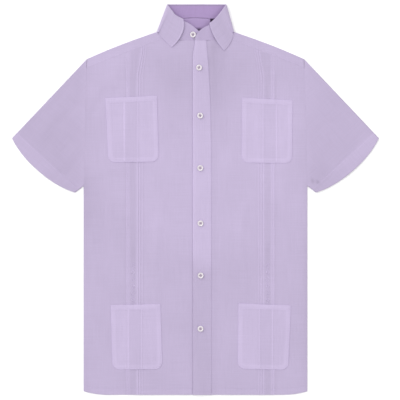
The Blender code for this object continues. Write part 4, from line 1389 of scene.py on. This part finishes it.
BAND_WALL = 1.2
COLLAR_TOP_X = 2.7
BAND_TOP_HALF, BAND_TOP_Y, BAND_LOW_HALF = 60.6, 407.6, 78.3
BAND_BACK_Z, BAND_TURN_LOW, BAND_TURN_TOP = 2.6, 0.95, 3.4
BAND_SEAM_GAP = 0.1
BAND_FRONT = {
    -1: (
        {"low_x": 72.5, "top_x": -51.6, "top_y": 395.3, "top_z": 9.6},
        {"low_x": 66.0, "top_x": -47.6, "top_y": 390.4, "top_z": 9.7},
        {"low_x": 52.0, "top_x": -41.0, "top_y": 383.2, "top_z": 9.8},
        {"low_x": 38.0, "top_x": -25.5, "top_y": 375.0, "top_z": 9.4},
        {"low_x": 24.0, "top_x": -12.0, "top_y": 368.4, "top_z": 8.8},
        {"low_x": 10.0, "top_x": -1.0, "top_y": 360.0, "top_z": 8.2},
        {"low_x": -2.0, "top_x": 6.0, "top_y": 354.2, "top_z": 7.9},
        {"low_x": -9.0, "top_x": 10.5, "top_y": 349.5, "top_z": 7.4},
        {"low_x": -12.5, "top_x": 12.5, "top_y": 343.5, "top_z": 6.8},
    ),
    1: (
        {"low_x": 72.5, "top_x": 56.8, "top_y": 394.4, "top_z": 9.7},
        {"low_x": 66.0, "top_x": 52.4, "top_y": 388.9, "top_z": 9.9},
        {"low_x": 54.0, "top_x": 45.3, "top_y": 380.4, "top_z": 10.1},
        {"low_x": 43.0, "top_x": 37.0, "top_y": 372.3, "top_z": 10.2},
        {"low_x": 32.0, "top_x": 29.5, "top_y": 366.2, "top_z": 10.2},
        {"low_x": 22.0, "top_x": 18.0, "top_y": 360.6, "top_z": 10.1},
        {"low_x": 12.0, "top_x": 9.5, "top_y": 354.6, "top_z": 10.0},
        {"low_x": 4.5, "top_x": 4.5, "top_y": 349.5, "top_z": 9.6},
        {"low_x": 0.5, "top_x": 0.8, "top_y": 343.0, "top_z": 9.0},
        {"low_x": -1.5, "top_x": -1.2, "top_y": 337.5, "top_z": 8.2},
    ),
}
COLLAR_TURN = (
    {"degrees": -45, "drop": 0.3},
    {"degrees": 0, "drop": 2.2},
    {"degrees": 45, "drop": 5.0},
    {"degrees": 90, "drop": 8.4},
)
OVER_BAND_LIFT = (
    {"x": 21.5, "lift": 2 * LAYER},
    {"x": 30.0, "lift": 1.3 * LAYER},
    {"x": 42.0, "lift": 0.0},
)
COLLAR_EDGE_ROUND = 0.3

# Of the band's stations, the first and the last that lie inside the neck.
BAND_INSIDE = (13, 23)


def plain_front_z(x, y):
    """Top face of the fronts as they are sewn to the band, with no creases."""
    side, underarm, fold = seam_distances(x, y)
    z = SEAM_TOP + RISE * looseness(side, underarm, fold)
    return z + FOLD_EXTRA * math.exp(-min(fold, underarm) / FOLD_REACH) + neck_lift(x, y)


def band_low(side, x):
    """A point of the band's sewn edge along a front neckline."""
    signed = side * x
    lift = read_table(OVER_BAND_LIFT, "x", x, "lift") if side > 0 else 0.0
    if abs(x) > YOKE_FRONT_NECK:
        corner = Vector((YOKE_FRONT_NECK, front_top_y(YOKE_FRONT_NECK) + BAND_SEAM_GAP / 2))
        fold = Vector((BACK_NECK[-1]["x"], BACK_NECK[-1]["y"]))
        share = (abs(x) - corner.x) / (fold.x - corner.x)
        y = mix(corner.y, fold.y, share) + 2 * BAND_SEAM_GAP
    else:
        y = front_top_y(x) + 1.5 * BAND_SEAM_GAP
    return Vector((signed, y, plain_front_z(signed, y) - BAND_WALL / 2 + lift))


def beyond_back_neck(index):
    """A point just clear of one corner of the yoke's back neckline."""
    before = BACK_NECK[max(0, index - 1)]
    after = BACK_NECK[min(len(BACK_NECK) - 1, index + 1)]
    along = Vector((after["x"] - before["x"], after["y"] - before["y"])).normalized()
    if index == 0:
        along = Vector((1.0, 0.0))
    spot, clear = BACK_NECK[index], 1.4 * BAND_SEAM_GAP
    return Vector((spot["x"] - along.y * clear, spot["y"] + along.x * clear))


def band_stations(side):
    """Sewn edge and top edge of the band, from the centre back to one front end."""
    rows = []
    for index, spot in enumerate(BACK_NECK[:-1]):
        share = spot["x"] / BACK_NECK[-2]["x"]
        top_x = COLLAR_TOP_X + side * share * (BAND_TOP_HALF - BAND_TURN_TOP)
        clear = beyond_back_neck(index)
        low = Vector((side * clear.x, clear.y, BAND_BACK_Z))
        rows.append((low, Vector((top_x, BAND_TOP_Y, BAND_BACK_Z))))
    turn_y = beyond_back_neck(len(BACK_NECK) - 1).y + 2.2
    for step in COLLAR_TURN:
        angle = math.radians(step["degrees"])
        down = (step["degrees"] + 45) / 135
        low_x = BAND_LOW_HALF - BAND_TURN_LOW * (1 - math.cos(angle))
        low_z = BAND_BACK_Z + BAND_TURN_LOW * (1 + math.sin(angle))
        top_half = BAND_TOP_HALF - BAND_TURN_TOP * (1 - math.cos(angle))
        top_z = BAND_BACK_Z + BAND_TURN_TOP * (1 + math.sin(angle))
        low = Vector((side * low_x, turn_y - 1.2 * down, low_z))
        top = Vector((COLLAR_TOP_X + side * top_half, BAND_TOP_Y - step["drop"], top_z))
        rows.append((low, top))
    for row in BAND_FRONT[side]:
        top = Vector((row["top_x"], row["top_y"], row["top_z"]))
        rows.append((band_low(side, row["low_x"]), top))
    return rows


def curve_through(points, share):
    """A place on the smooth curve through points, with share from 0 to 1 along them."""
    last = len(points) - 1
    place = min(share, 0.999999) * last
    index, t = int(place), place - int(place)
    before, start = points[max(0, index - 1)], points[index]
    end, after = points[index + 1], points[min(last, index + 2)]
    pull_start, pull_end = (end - before) * 0.5, (after - start) * 0.5
    return (
        start * (2 * t**3 - 3 * t**2 + 1)
        + pull_start * (t**3 - 2 * t**2 + t)
        + end * (3 * t**2 - 2 * t**3)
        + pull_end * (t**3 - t**2)
    )


def collar_piece(name, surface, columns, across, wall, material, light):
    """A doubled piece of the collar: its middle sheet, then its wall and its soft rim."""
    bm = bmesh.new()
    tone = bm.verts.layers.float.new("lightness")
    flat = bm.loops.layers.uv.new("cut")
    rows = len(across)
    bmesh.ops.create_grid(bm, x_segments=columns - 1, y_segments=rows - 1, size=1.0)
    for vert in bm.verts:
        share = round((vert.co.x + 1) / 2 * (columns - 1)) / (columns - 1)
        down = across[round((vert.co.y + 1) / 2 * (rows - 1))]
        vert.co = surface(share, down)
        vert[tone] = light(share, down)
        for loop in vert.link_loops:
            loop[flat].uv = (0.42 * share, 0.05 * down)
    made = finished(bm, name, material)
    thick = made.modifiers.new("Wall", "SOLIDIFY")
    thick.thickness = wall * MM
    thick.offset = 0.0
    thick.use_even_offset = False
    thick.use_rim = True
    soft = made.modifiers.new("Soft_edge", "BEVEL")
    soft.width = COLLAR_EDGE_ROUND * MM
    soft.segments = 2
    soft.limit_method = "ANGLE"
    soft.angle_limit = math.radians(50)
    return made


band_rows = list(reversed(band_stations(-1))) + band_stations(1)[1:]
band_lows = [low for low, _ in band_rows]
band_tops = [top for _, top in band_rows]


def band_surface(share, up):
    low, top = curve_through(band_lows, share), curve_through(band_tops, share)
    spot = low.lerp(top, up)
    spot.z -= stitch_dip((up - 0.12) * (top - low).length)
    return spot


def band_light(share, up):
    # Painted deep shade inside the neck, darker still along the sewn edge, and a little lighter
    # where the left end laps over.
    first, last = (station / (len(band_rows) - 1) for station in BAND_INSIDE)
    deep = ease((share - first + 0.05) / 0.06) * ease((last - share + 0.05) / 0.06)
    seam = 0.1 * math.exp(-((up / 0.05) ** 2))
    lapping = 0.07 * ease((share - 0.92) / 0.05)
    return mix(0.94 + lapping, SHADE_LIGHT - seam, deep)


band_cloth = woven_cloth("lilac_linen_band", LILAC, shade=SHADED_LILAC)
band_across = (0.0, 0.03, 0.08, 0.12, 0.16, 0.24, 0.36, 0.5, 0.64, 0.78, 0.9, 0.97, 1.0)
band = collar_piece(
    "collar_band_strip", band_surface, 190, band_across, BAND_WALL - 0.2, band_cloth, band_light
)
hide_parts("collar_band")


# ================================================================= collar leaf
# The leaf is two layers of the cloth, pressed and topstitched near its edge. It
# is sewn to the band's top edge, folds over and falls outside it to two points.

LEAF_WALL, LEAF_RISE, LEAF_FOLD, LEAF_FOLD_EXTRA = 0.8, 1.4, 1.05, 0.2
LEAF_TURN, LEAF_TURN_LOW, LEAF_TURN_DROP = 3.7, 2.2, 1.9
LEAF_SEWN_IN = 5.0
LEAF_CUT, LEAF_SHOWN_DEPTH, LEAF_SEWN_LENGTH = (340, 62), 48, 210
LEAF_SAG = 1.4
LEAF_FRONT = {
    -1: (
        {"x": -76.9, "y": 348.6, "z": 6.3, "bow": 0.0},
        {"x": -71.8, "y": 342.2, "z": 5.6, "bow": 2.0},
        {"x": -63.5, "y": 333.4, "z": 4.95, "bow": 5.0},
        {"x": -49.6, "y": 319.8, "z": 5.0, "bow": 9.5},
    ),
    1: (
        {"x": 78.8, "y": 347.0, "z": 6.3, "bow": 0.0},
        {"x": 77.6, "y": 340.4, "z": 5.55, "bow": 1.0},
        {"x": 74.0, "y": 330.8, "z": 4.85, "bow": 2.5},
        {"x": 68.2, "y": 321.6, "z": 4.9, "bow": 4.0},
        {"x": 60.1, "y": 312.5, "z": 4.95, "bow": 5.0},
    ),
}


def leaf_stations(side):
    """Points down the leaf at each of the band's stations that it covers."""
    stations_below = band_stations(side)
    edges = []
    for spot in BACK_NECK[:-1]:
        x = spot["x"] / BACK_NECK[-2]["x"] * (LEAF_HALF - LEAF_TURN)
        edges.append((Vector((side * x, leaf_back_y(x), LEAF_WALL / 2)), 0.0))
    for step in COLLAR_TURN:
        angle = math.radians(step["degrees"])
        x = LEAF_HALF - LEAF_TURN * (1 - math.cos(angle))
        z = LEAF_WALL / 2 + LEAF_TURN * (1 + math.sin(angle))
        y = leaf_back_y(LEAF_HALF - LEAF_TURN) - LEAF_TURN_LOW
        y -= LEAF_TURN_DROP * max(0.0, math.sin(angle))
        edges.append((Vector((side * x, y, z)), 0.0))
    edges += [(Vector((row["x"], row["y"], row["z"])), row["bow"]) for row in LEAF_FRONT[side]]
    stations = []
    for index, (edge, bow) in enumerate(edges):
        low, top = stations_below[index]
        before, after = stations_below[max(0, index - 1)][1], stations_below[index + 1][1]
        up = (top - low).normalized()
        out = up.cross((after - before).normalized()) * side
        out = (out - up * out.dot(up)).normalized()
        fold = LEAF_FOLD + (LEAF_FOLD_EXTRA if index >= len(BACK_NECK) else 0.0)
        root = top + up * LEAF_RISE
        points = [top + up * 0.6, root]
        for degrees in (135, 90, 45, 0):
            angle = math.radians(degrees)
            rolled = out * (fold * (1 + math.cos(angle))) + up * (fold * math.sin(angle))
            points.append(root + rolled)
        start = points[-1]
        for share in (0.14, 0.35, 0.6, 0.8, 1.0):
            fallen = start.lerp(edge, share)
            fallen.x -= side * bow * 4 * share * (1 - share)
            fallen.z += LEAF_SAG * share * (1 - share) if index >= len(BACK_NECK) else 0.0
            points.append(fallen)
        stations.append(points)
    return stations


leaf_columns = list(reversed(leaf_stations(-1))) + leaf_stations(1)[1:]
leaf_lines = list(zip(*leaf_columns))


def leaf_surface(share, down):
    """down runs from the sewn edge (0) over the fold to the free edge (1)."""
    return curve_through([curve_through(line, share) for line in leaf_lines], down)


def leaf_light(share, down):
    # Painted highlight on the leaf's edge walls, and painted shade on the part rising from the band
    # into the fold.
    rim = 0.08 if down > 0.985 or min(share, 1 - share) < 0.008 else 0.0
    return 0.95 + rim if down > 0.3 else 0.9


leaf_cloth = woven_cloth("lilac_linen_leaf", LILAC)
leaf_across = [0.0, 0.06, 0.1, 0.15, 0.2, 0.25, 0.3, 0.35, 0.4, 0.45, 0.5]
leaf_across += [0.5 + 0.45 * number / 14 for number in range(1, 15)] + [0.965, 0.98, 0.99, 1.0]
leaf = collar_piece(
    "collar_leaf_fall", leaf_surface, 170, leaf_across, LEAF_WALL, leaf_cloth, leaf_light
)
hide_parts("collar_leaf")


def leaf_normal(share, down):
    """The way the leaf's outer face looks."""
    share, down = min(max(share, 0.003), 0.997), min(down, 0.992)
    across = leaf_surface(share + 0.002, down) - leaf_surface(share - 0.002, down)
    fall = leaf_surface(share, down + 0.006) - leaf_surface(share, down - 0.006)
    return fall.cross(across).normalized()


def leaf_edge_row():
    """One row of stitches inside the leaf's ends and free edge."""
    near, far = LEAF_SEWN_IN / LEAF_SEWN_LENGTH, 1 - LEAF_SEWN_IN / LEAF_SEWN_LENGTH
    down = 1 - LEAF_SEWN_IN / LEAF_CUT[1]
    outline = [(near, mix(0.56, down, number / 16)) for number in range(17)]
    outline += [(mix(near, far, number / 120), down) for number in range(1, 121)]
    outline += [(far, mix(down, 0.56, number / 16)) for number in range(1, 17)]
    spots = [leaf_surface(*place) for place in outline]
    normals = [leaf_normal(*place) for place in outline]
    locate, length = measured(spots)

    def at(distance):
        index, share = locate(distance)
        up = normals[index].lerp(normals[index + 1], share).normalized()
        return spots[index].lerp(spots[index + 1], share) + up * LEAF_WALL / 2, up

    return stitches(at, length)


leaf_stitches = sewn("collar_leaf_stitches", leaf_edge_row(), SEAM_THREAD, lilac_thread)


# ==================================================================== neck tab
# A small dark woven tab is sewn flat inside the back of the neck. It is blank.

TAB_PLUM = (0.030, 0.017, 0.045)
TAB_ACROSS, TAB_UP = 8, 6
tab_cloth = woven_cloth("plum_tab_weave", TAB_PLUM, sheen=0.1, weave=0.35, clouds=0.02)
tab_low, tab_high = (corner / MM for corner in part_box("neck_tab"))


def tab_point(column, row, face):
    x = graded(column, tab_low.x, tab_high.x, EDGE_STEPS, TAB_ACROSS, EDGE_STEPS)
    y = graded(row, tab_low.y, tab_high.y, EDGE_STEPS, TAB_UP, EDGE_STEPS)
    inward = min(x - tab_low.x, tab_high.x - x, y - tab_low.y, tab_high.y - y)
    bend = 0.25 * math.sin((x - tab_low.x) / 4.2)
    above = 0.5 + bend - 0.5 * folded_edge(inward) if face else 0.0
    return x, y, tab_low.z + 0.1 + above, 1.0


tab_columns, tab_rows = (count + 2 * len(EDGE_STEPS) for count in (TAB_ACROSS, TAB_UP))
tab = shell("neck_tab_tape", tab_point, tab_columns, tab_rows, tab_cloth)
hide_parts("neck_tab")


# ===================================================================== buttons
# Seven four-hole buttons of white pearly polyester, turned with a raised rim and
# a dished middle, each sewn on through its holes with a crossed thread. Six fasten
# the placket through upright buttonholes. The collar's is left undone.

BUTTON_DIAMETER, BUTTON_THICK = 12.5, 2.6
BUTTON_HOLE, BUTTON_HOLE_RADIUS = 1.8, 1.75
BUTTON_STEPS = 48
BUTTON_FLOOR = 0.75
BUTTON_THREAD = 0.5
THREAD_COLOUR = (0.44, 0.36, 0.48)
PEARL_DARK, PEARL_PALE, PEARL_DISH_SHADE = (0.63, 0.59, 0.62), (0.73, 0.69, 0.73), (0.50, 0.42, 0.50)
BUTTONHOLE_LENGTH = 15.0
BUTTONS = (
    {"name": "button_1", "x": 7.5, "y": 276.5, "turn": 20},
    {"name": "button_2", "x": 9.8, "y": 176.0, "turn": 64},
    {"name": "button_3", "x": 10.0, "y": 66.0, "turn": 38},
    {"name": "button_4", "x": 10.5, "y": -50.0, "turn": 8},
    {"name": "button_5", "x": 10.8, "y": -159.3, "turn": 51},
    {"name": "button_6", "x": 10.5, "y": -271.0, "turn": 30},
)


def pearl_finish():
    """Pearly polyester: slow pale swirls, a clear gloss, a little depth and painted shade in the
    dish.
    """
    made, nodes, links, shader = new_finish("button_pearl", 0.22)
    shader.inputs["Coat Weight"].default_value = 0.4
    shader.inputs["Coat Roughness"].default_value = 0.08
    shader.inputs["Subsurface Weight"].default_value = 0.15
    shader.inputs["Subsurface Radius"].default_value = (0.002, 0.002, 0.002)
    dish_shade = nodes.new("ShaderNodeAttribute")
    dish_shade.attribute_name = "dish_shade"
    deepen = nodes.new("ShaderNodeMix")
    deepen.data_type = "RGBA"
    deepen.inputs["B"].default_value = (*PEARL_DISH_SHADE, 1.0)
    links.new(dish_shade.outputs["Fac"], deepen.inputs["Factor"])
    place = nodes.new("ShaderNodeTexCoord")
    swirl = nodes.new("ShaderNodeTexWave")
    swirl.inputs["Scale"].default_value = 38.0
    swirl.inputs["Distortion"].default_value = 9.0
    swirl.inputs["Detail Scale"].default_value = 2.0
    links.new(place.outputs["Object"], swirl.inputs["Vector"])
    ramp = nodes.new("ShaderNodeValToRGB")
    ramp.color_ramp.elements[0].color = (*PEARL_DARK, 1.0)
    ramp.color_ramp.elements[1].color = (*PEARL_PALE, 1.0)
    links.new(swirl.outputs["Fac"], ramp.inputs["Fac"])
    links.new(ramp.outputs["Color"], deepen.inputs["A"])
    links.new(deepen.outputs["Result"], shader.inputs["Base Color"])
    return made


def turned_button():
    """The button at the origin, underside down, with its four holes drilled."""
    half, thick, floor = BUTTON_DIAMETER / 2, BUTTON_THICK, BUTTON_FLOOR
    # Its outline from the middle of the underside round to the middle of the face.
    profile = (
        (0.0, 0.0), (0.60, 0.0), (0.78, 0.03), (0.90, 0.14), (0.97, 0.34), (1.0, 0.54),
        (0.985, 0.74), (0.94, 0.90), (0.87, 0.98), (0.80, 1.0), (0.74, 0.97), (0.69, 0.88),
        (0.64, 0.80), (0.56, 0.765), (0.40, floor), (0.20, floor), (0.0, floor),
    )
    bm = bmesh.new()
    verts = [bm.verts.new((reach * half, 0.0, level * thick)) for reach, level in profile]
    edges = [bm.edges.new(pair) for pair in zip(verts, verts[1:])]
    bmesh.ops.spin(
        bm, geom=verts + edges, axis=(0, 0, 1), cent=(0, 0, 0),
        steps=BUTTON_STEPS, angle=math.tau, use_merge=True,
    )
    bmesh.ops.remove_doubles(bm, verts=bm.verts, dist=0.001)
    drill = bmesh.new()
    for quarter in range(4):
        hole = bmesh.ops.create_cone(
            drill, segments=14, radius1=BUTTON_HOLE / 2, radius2=BUTTON_HOLE / 2,
            depth=3 * thick, cap_ends=True,
        )["verts"]
        turn = math.radians(45 + 90 * quarter)
        spot = (BUTTON_HOLE_RADIUS * math.cos(turn), BUTTON_HOLE_RADIUS * math.sin(turn), 0)
        bmesh.ops.translate(drill, vec=spot, verts=hole)
    for shape in (bm, drill):
        bmesh.ops.recalc_face_normals(shape, faces=shape.faces)
    blank, cutter = meshed(bm, "button_blank"), meshed(drill, "button_drill")
    holes = blank.modifiers.new("Holes", "BOOLEAN")
    holes.object = cutter
    holes.operation = "DIFFERENCE"
    graph = bpy.context.evaluated_depsgraph_get()
    mesh = bpy.data.meshes.new_from_object(blank.evaluated_get(graph))
    for helper in (blank, cutter):
        bpy.data.objects.remove(helper)
    return mesh


def button_frame(origin, tilt, turn):
    """Turns a place on the button at the origin into a place on the shirt."""
    lean, spin = math.radians(tilt), math.radians(turn)

    def put(x, y, z):
        x, y = x * math.cos(spin) - y * math.sin(spin), x * math.sin(spin) + y * math.cos(spin)
        y, z = y * math.cos(lean) - z * math.sin(lean), y * math.sin(lean) + z * math.cos(lean)
        return origin + Vector((x, y, z))

    return put


def sew_on(name, put):
    """The button's thread: three strands over each pair of holes, the second three
    crossing over the first, and its shank below."""
    rows = []
    reach = BUTTON_HOLE_RADIUS
    for degrees, crossing in ((45, 0.0), (135, 0.2)):
        turn = math.radians(degrees)
        for shift in (-0.4, 0.0, 0.4):
            row = []
            for share in (0.0, 0.12, 0.3, 0.5, 0.7, 0.88, 1.0):
                along = mix(-reach, reach, share)
                x = along * math.cos(turn) - shift * math.sin(turn)
                y = along * math.sin(turn) + shift * math.cos(turn)
                lift = 0.34 - (1.5 if share in (0.0, 1.0) else 0.0)
                lift += crossing if 0.2 < share < 0.8 else 0.0
                row.append(put(x, y, BUTTON_FLOOR * BUTTON_THICK + lift))
            rows.append(row)
    for x, y in ((0.8, 0.8), (-0.8, 0.8), (0.8, -0.8), (-0.8, -0.8)):
        rows.append([put(x, y, level) for level in (0.9, -0.2, -1.1)])
    sewn(name, rows, BUTTON_THREAD, button_thread)


def make_button(name, mesh, put, material):
    made_mesh = mesh.copy()
    made_mesh.name = name + "_pearl"
    # Painted shade over the dished middle of the face.
    dish_shade = made_mesh.attributes.new("dish_shade", "FLOAT", "POINT")
    for vert, deep in zip(made_mesh.vertices, dish_shade.data):
        inset = 0.62 * BUTTON_DIAMETER / 2 - math.hypot(vert.co.x, vert.co.y)
        deep.value = ease(inset / 1.2) if vert.co.z > BUTTON_THICK / 2 else 0.0
        vert.co = put(*vert.co) * MM
    for face in made_mesh.polygons:
        face.use_smooth = True
    made_mesh.materials.clear()
    made_mesh.materials.append(material)
    made = placed(name + "_pearl", made_mesh)
    crisp = made.modifiers.new("Crisp_edges", "EDGE_SPLIT")
    crisp.split_angle = math.radians(42)
    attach(made, "root")
    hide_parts(name)


def buttonhole(x, y):
    """Close stitches along both sides of the upright cut, and a bar at each end."""
    rows = []
    half = BUTTONHOLE_LENGTH / 2

    def thread(level, *places):
        """One thread at this level, its places given by distance from the cut and lift."""
        spots = [Vector((x + reach, level, lift)) for reach, lift in places]
        for spot in spots:
            spot.z += placket_z(spot.x, level)
        rows.append(spots)

    for number in range(38):
        level = y - half + BUTTONHOLE_LENGTH * number / 37
        for side in (-1, 1):
            thread(level, (side * 0.15, -0.05), (side * 0.7, 0.22), (side * 1.25, -0.1))
    for way in (-1, 1):
        for step in range(4):
            thread(y + way * (half + 0.3 * step), (-1.3, -0.1), (0.0, 0.26), (1.3, -0.1))
    return rows


pearl = pearl_finish()
button_thread = thread_material("button_thread_grey_lilac", THREAD_COLOUR)
button_blank = turned_button()
hole_rows = []
for spec in BUTTONS:
    low_corner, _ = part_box(spec["name"])
    seat = max(low_corner.z / MM, placket_z(spec["x"], spec["y"]) + 0.25)
    put = button_frame(Vector((spec["x"], spec["y"], seat)), 0.0, spec["turn"])
    make_button(spec["name"], button_blank, put, pearl)
    sew_on(spec["name"] + "_thread", put)
    hole_rows += buttonhole(spec["x"], spec["y"])
sewn("placket_buttonholes", hole_rows, BUTTON_THREAD, lilac_thread)

# The collar's button sits on the band's right end and leans as the band does there.
COLLAR_BUTTON = {"x": -5.2, "y": 346.0, "turn": 25}
collar_low, collar_top = band_low(-1, -COLLAR_BUTTON["x"]), BAND_FRONT[-1][5]
collar_tilt = math.atan2(collar_top["top_z"] - collar_low.z, collar_top["top_y"] - collar_low.y)
collar_seat = collar_low.z + (COLLAR_BUTTON["y"] - collar_low.y) * math.tan(collar_tilt)
collar_seat += BAND_WALL / 2 + 0.55
collar_spot = Vector((COLLAR_BUTTON["x"], COLLAR_BUTTON["y"], collar_seat))
put = button_frame(collar_spot, math.degrees(collar_tilt), COLLAR_BUTTON["turn"])
make_button("button_collar", button_blank, put, pearl)
sew_on("button_collar_thread", put)


# ================================================================ table, lights
# The shirt lies on a plain white table under a broad soft light from above, a
# little stronger from the upper left, with the camera looking straight down.

FRAME_WIDTH = 840.0
VIEW_CENTRE = (9.45, -1.05)
CAMERA_LENS, CAMERA_SENSOR = 100.0, 36.0
TABLE_HALF = 4.0
SKY_STRENGTH = 0.76

table_top = bmesh.new()
bmesh.ops.create_grid(table_top, x_segments=2, y_segments=2, size=TABLE_HALF)
table = meshed(table_top, "table")
table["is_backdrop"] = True
table_paint, paint_nodes, paint_links, paint_shader = new_finish("table_white", 0.9)
paint_place = paint_nodes.new("ShaderNodeTexCoord")
paint_grain = paint_nodes.new("ShaderNodeTexNoise")
paint_grain.inputs["Scale"].default_value = 3.0
paint_tone = paint_nodes.new("ShaderNodeMapRange")
paint_tone.inputs["To Min"].default_value = 0.93
paint_tone.inputs["To Max"].default_value = 0.96
paint_links.new(paint_place.outputs["Object"], paint_grain.inputs["Vector"])
paint_links.new(paint_grain.outputs["Fac"], paint_tone.inputs["Value"])
paint_links.new(paint_tone.outputs["Result"], paint_shader.inputs["Base Color"])
table.data.materials.append(table_paint)


def soft_light(name, place, size, power):
    """A square soft box aimed at the middle of the shirt."""
    data = bpy.data.lights.new(name, "AREA")
    data.shape = "SQUARE"
    data.size = size
    data.energy = power
    box = placed(name, data)
    box.location = place
    box.rotation_euler = (-Vector(place)).to_track_quat("-Z", "Y").to_euler()


soft_light("key_light", (-3.0, 2.6, 3.4), 6.0, 204)
soft_light("fill_light", (3.2, -2.0, 4.4), 4.4, 72)

sky = bpy.data.worlds.new("studio")
bpy.context.scene.world = sky
sky.use_nodes = True
daylight = sky.node_tree.nodes["Background"]
daylight.inputs["Color"].default_value = (1.0, 1.0, 1.0, 1.0)
daylight.inputs["Strength"].default_value = SKY_STRENGTH
bpy.context.scene.view_settings.view_transform = "Standard"

camera_data = bpy.data.cameras.new("camera")
camera_data.lens = CAMERA_LENS
camera_data.sensor_width = CAMERA_SENSOR
camera_data.clip_end = 50.0
camera = placed("camera", camera_data)
camera_height = FRAME_WIDTH * CAMERA_LENS / CAMERA_SENSOR + 4.0
camera.location = Vector((*VIEW_CENTRE, camera_height)) * MM
bpy.context.scene.camera = camera

seen_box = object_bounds()
boxes = {"cad": cad_box, "visual": seen_box}
{name: [list(corner) for corner in box] for name, box in boxes.items()}
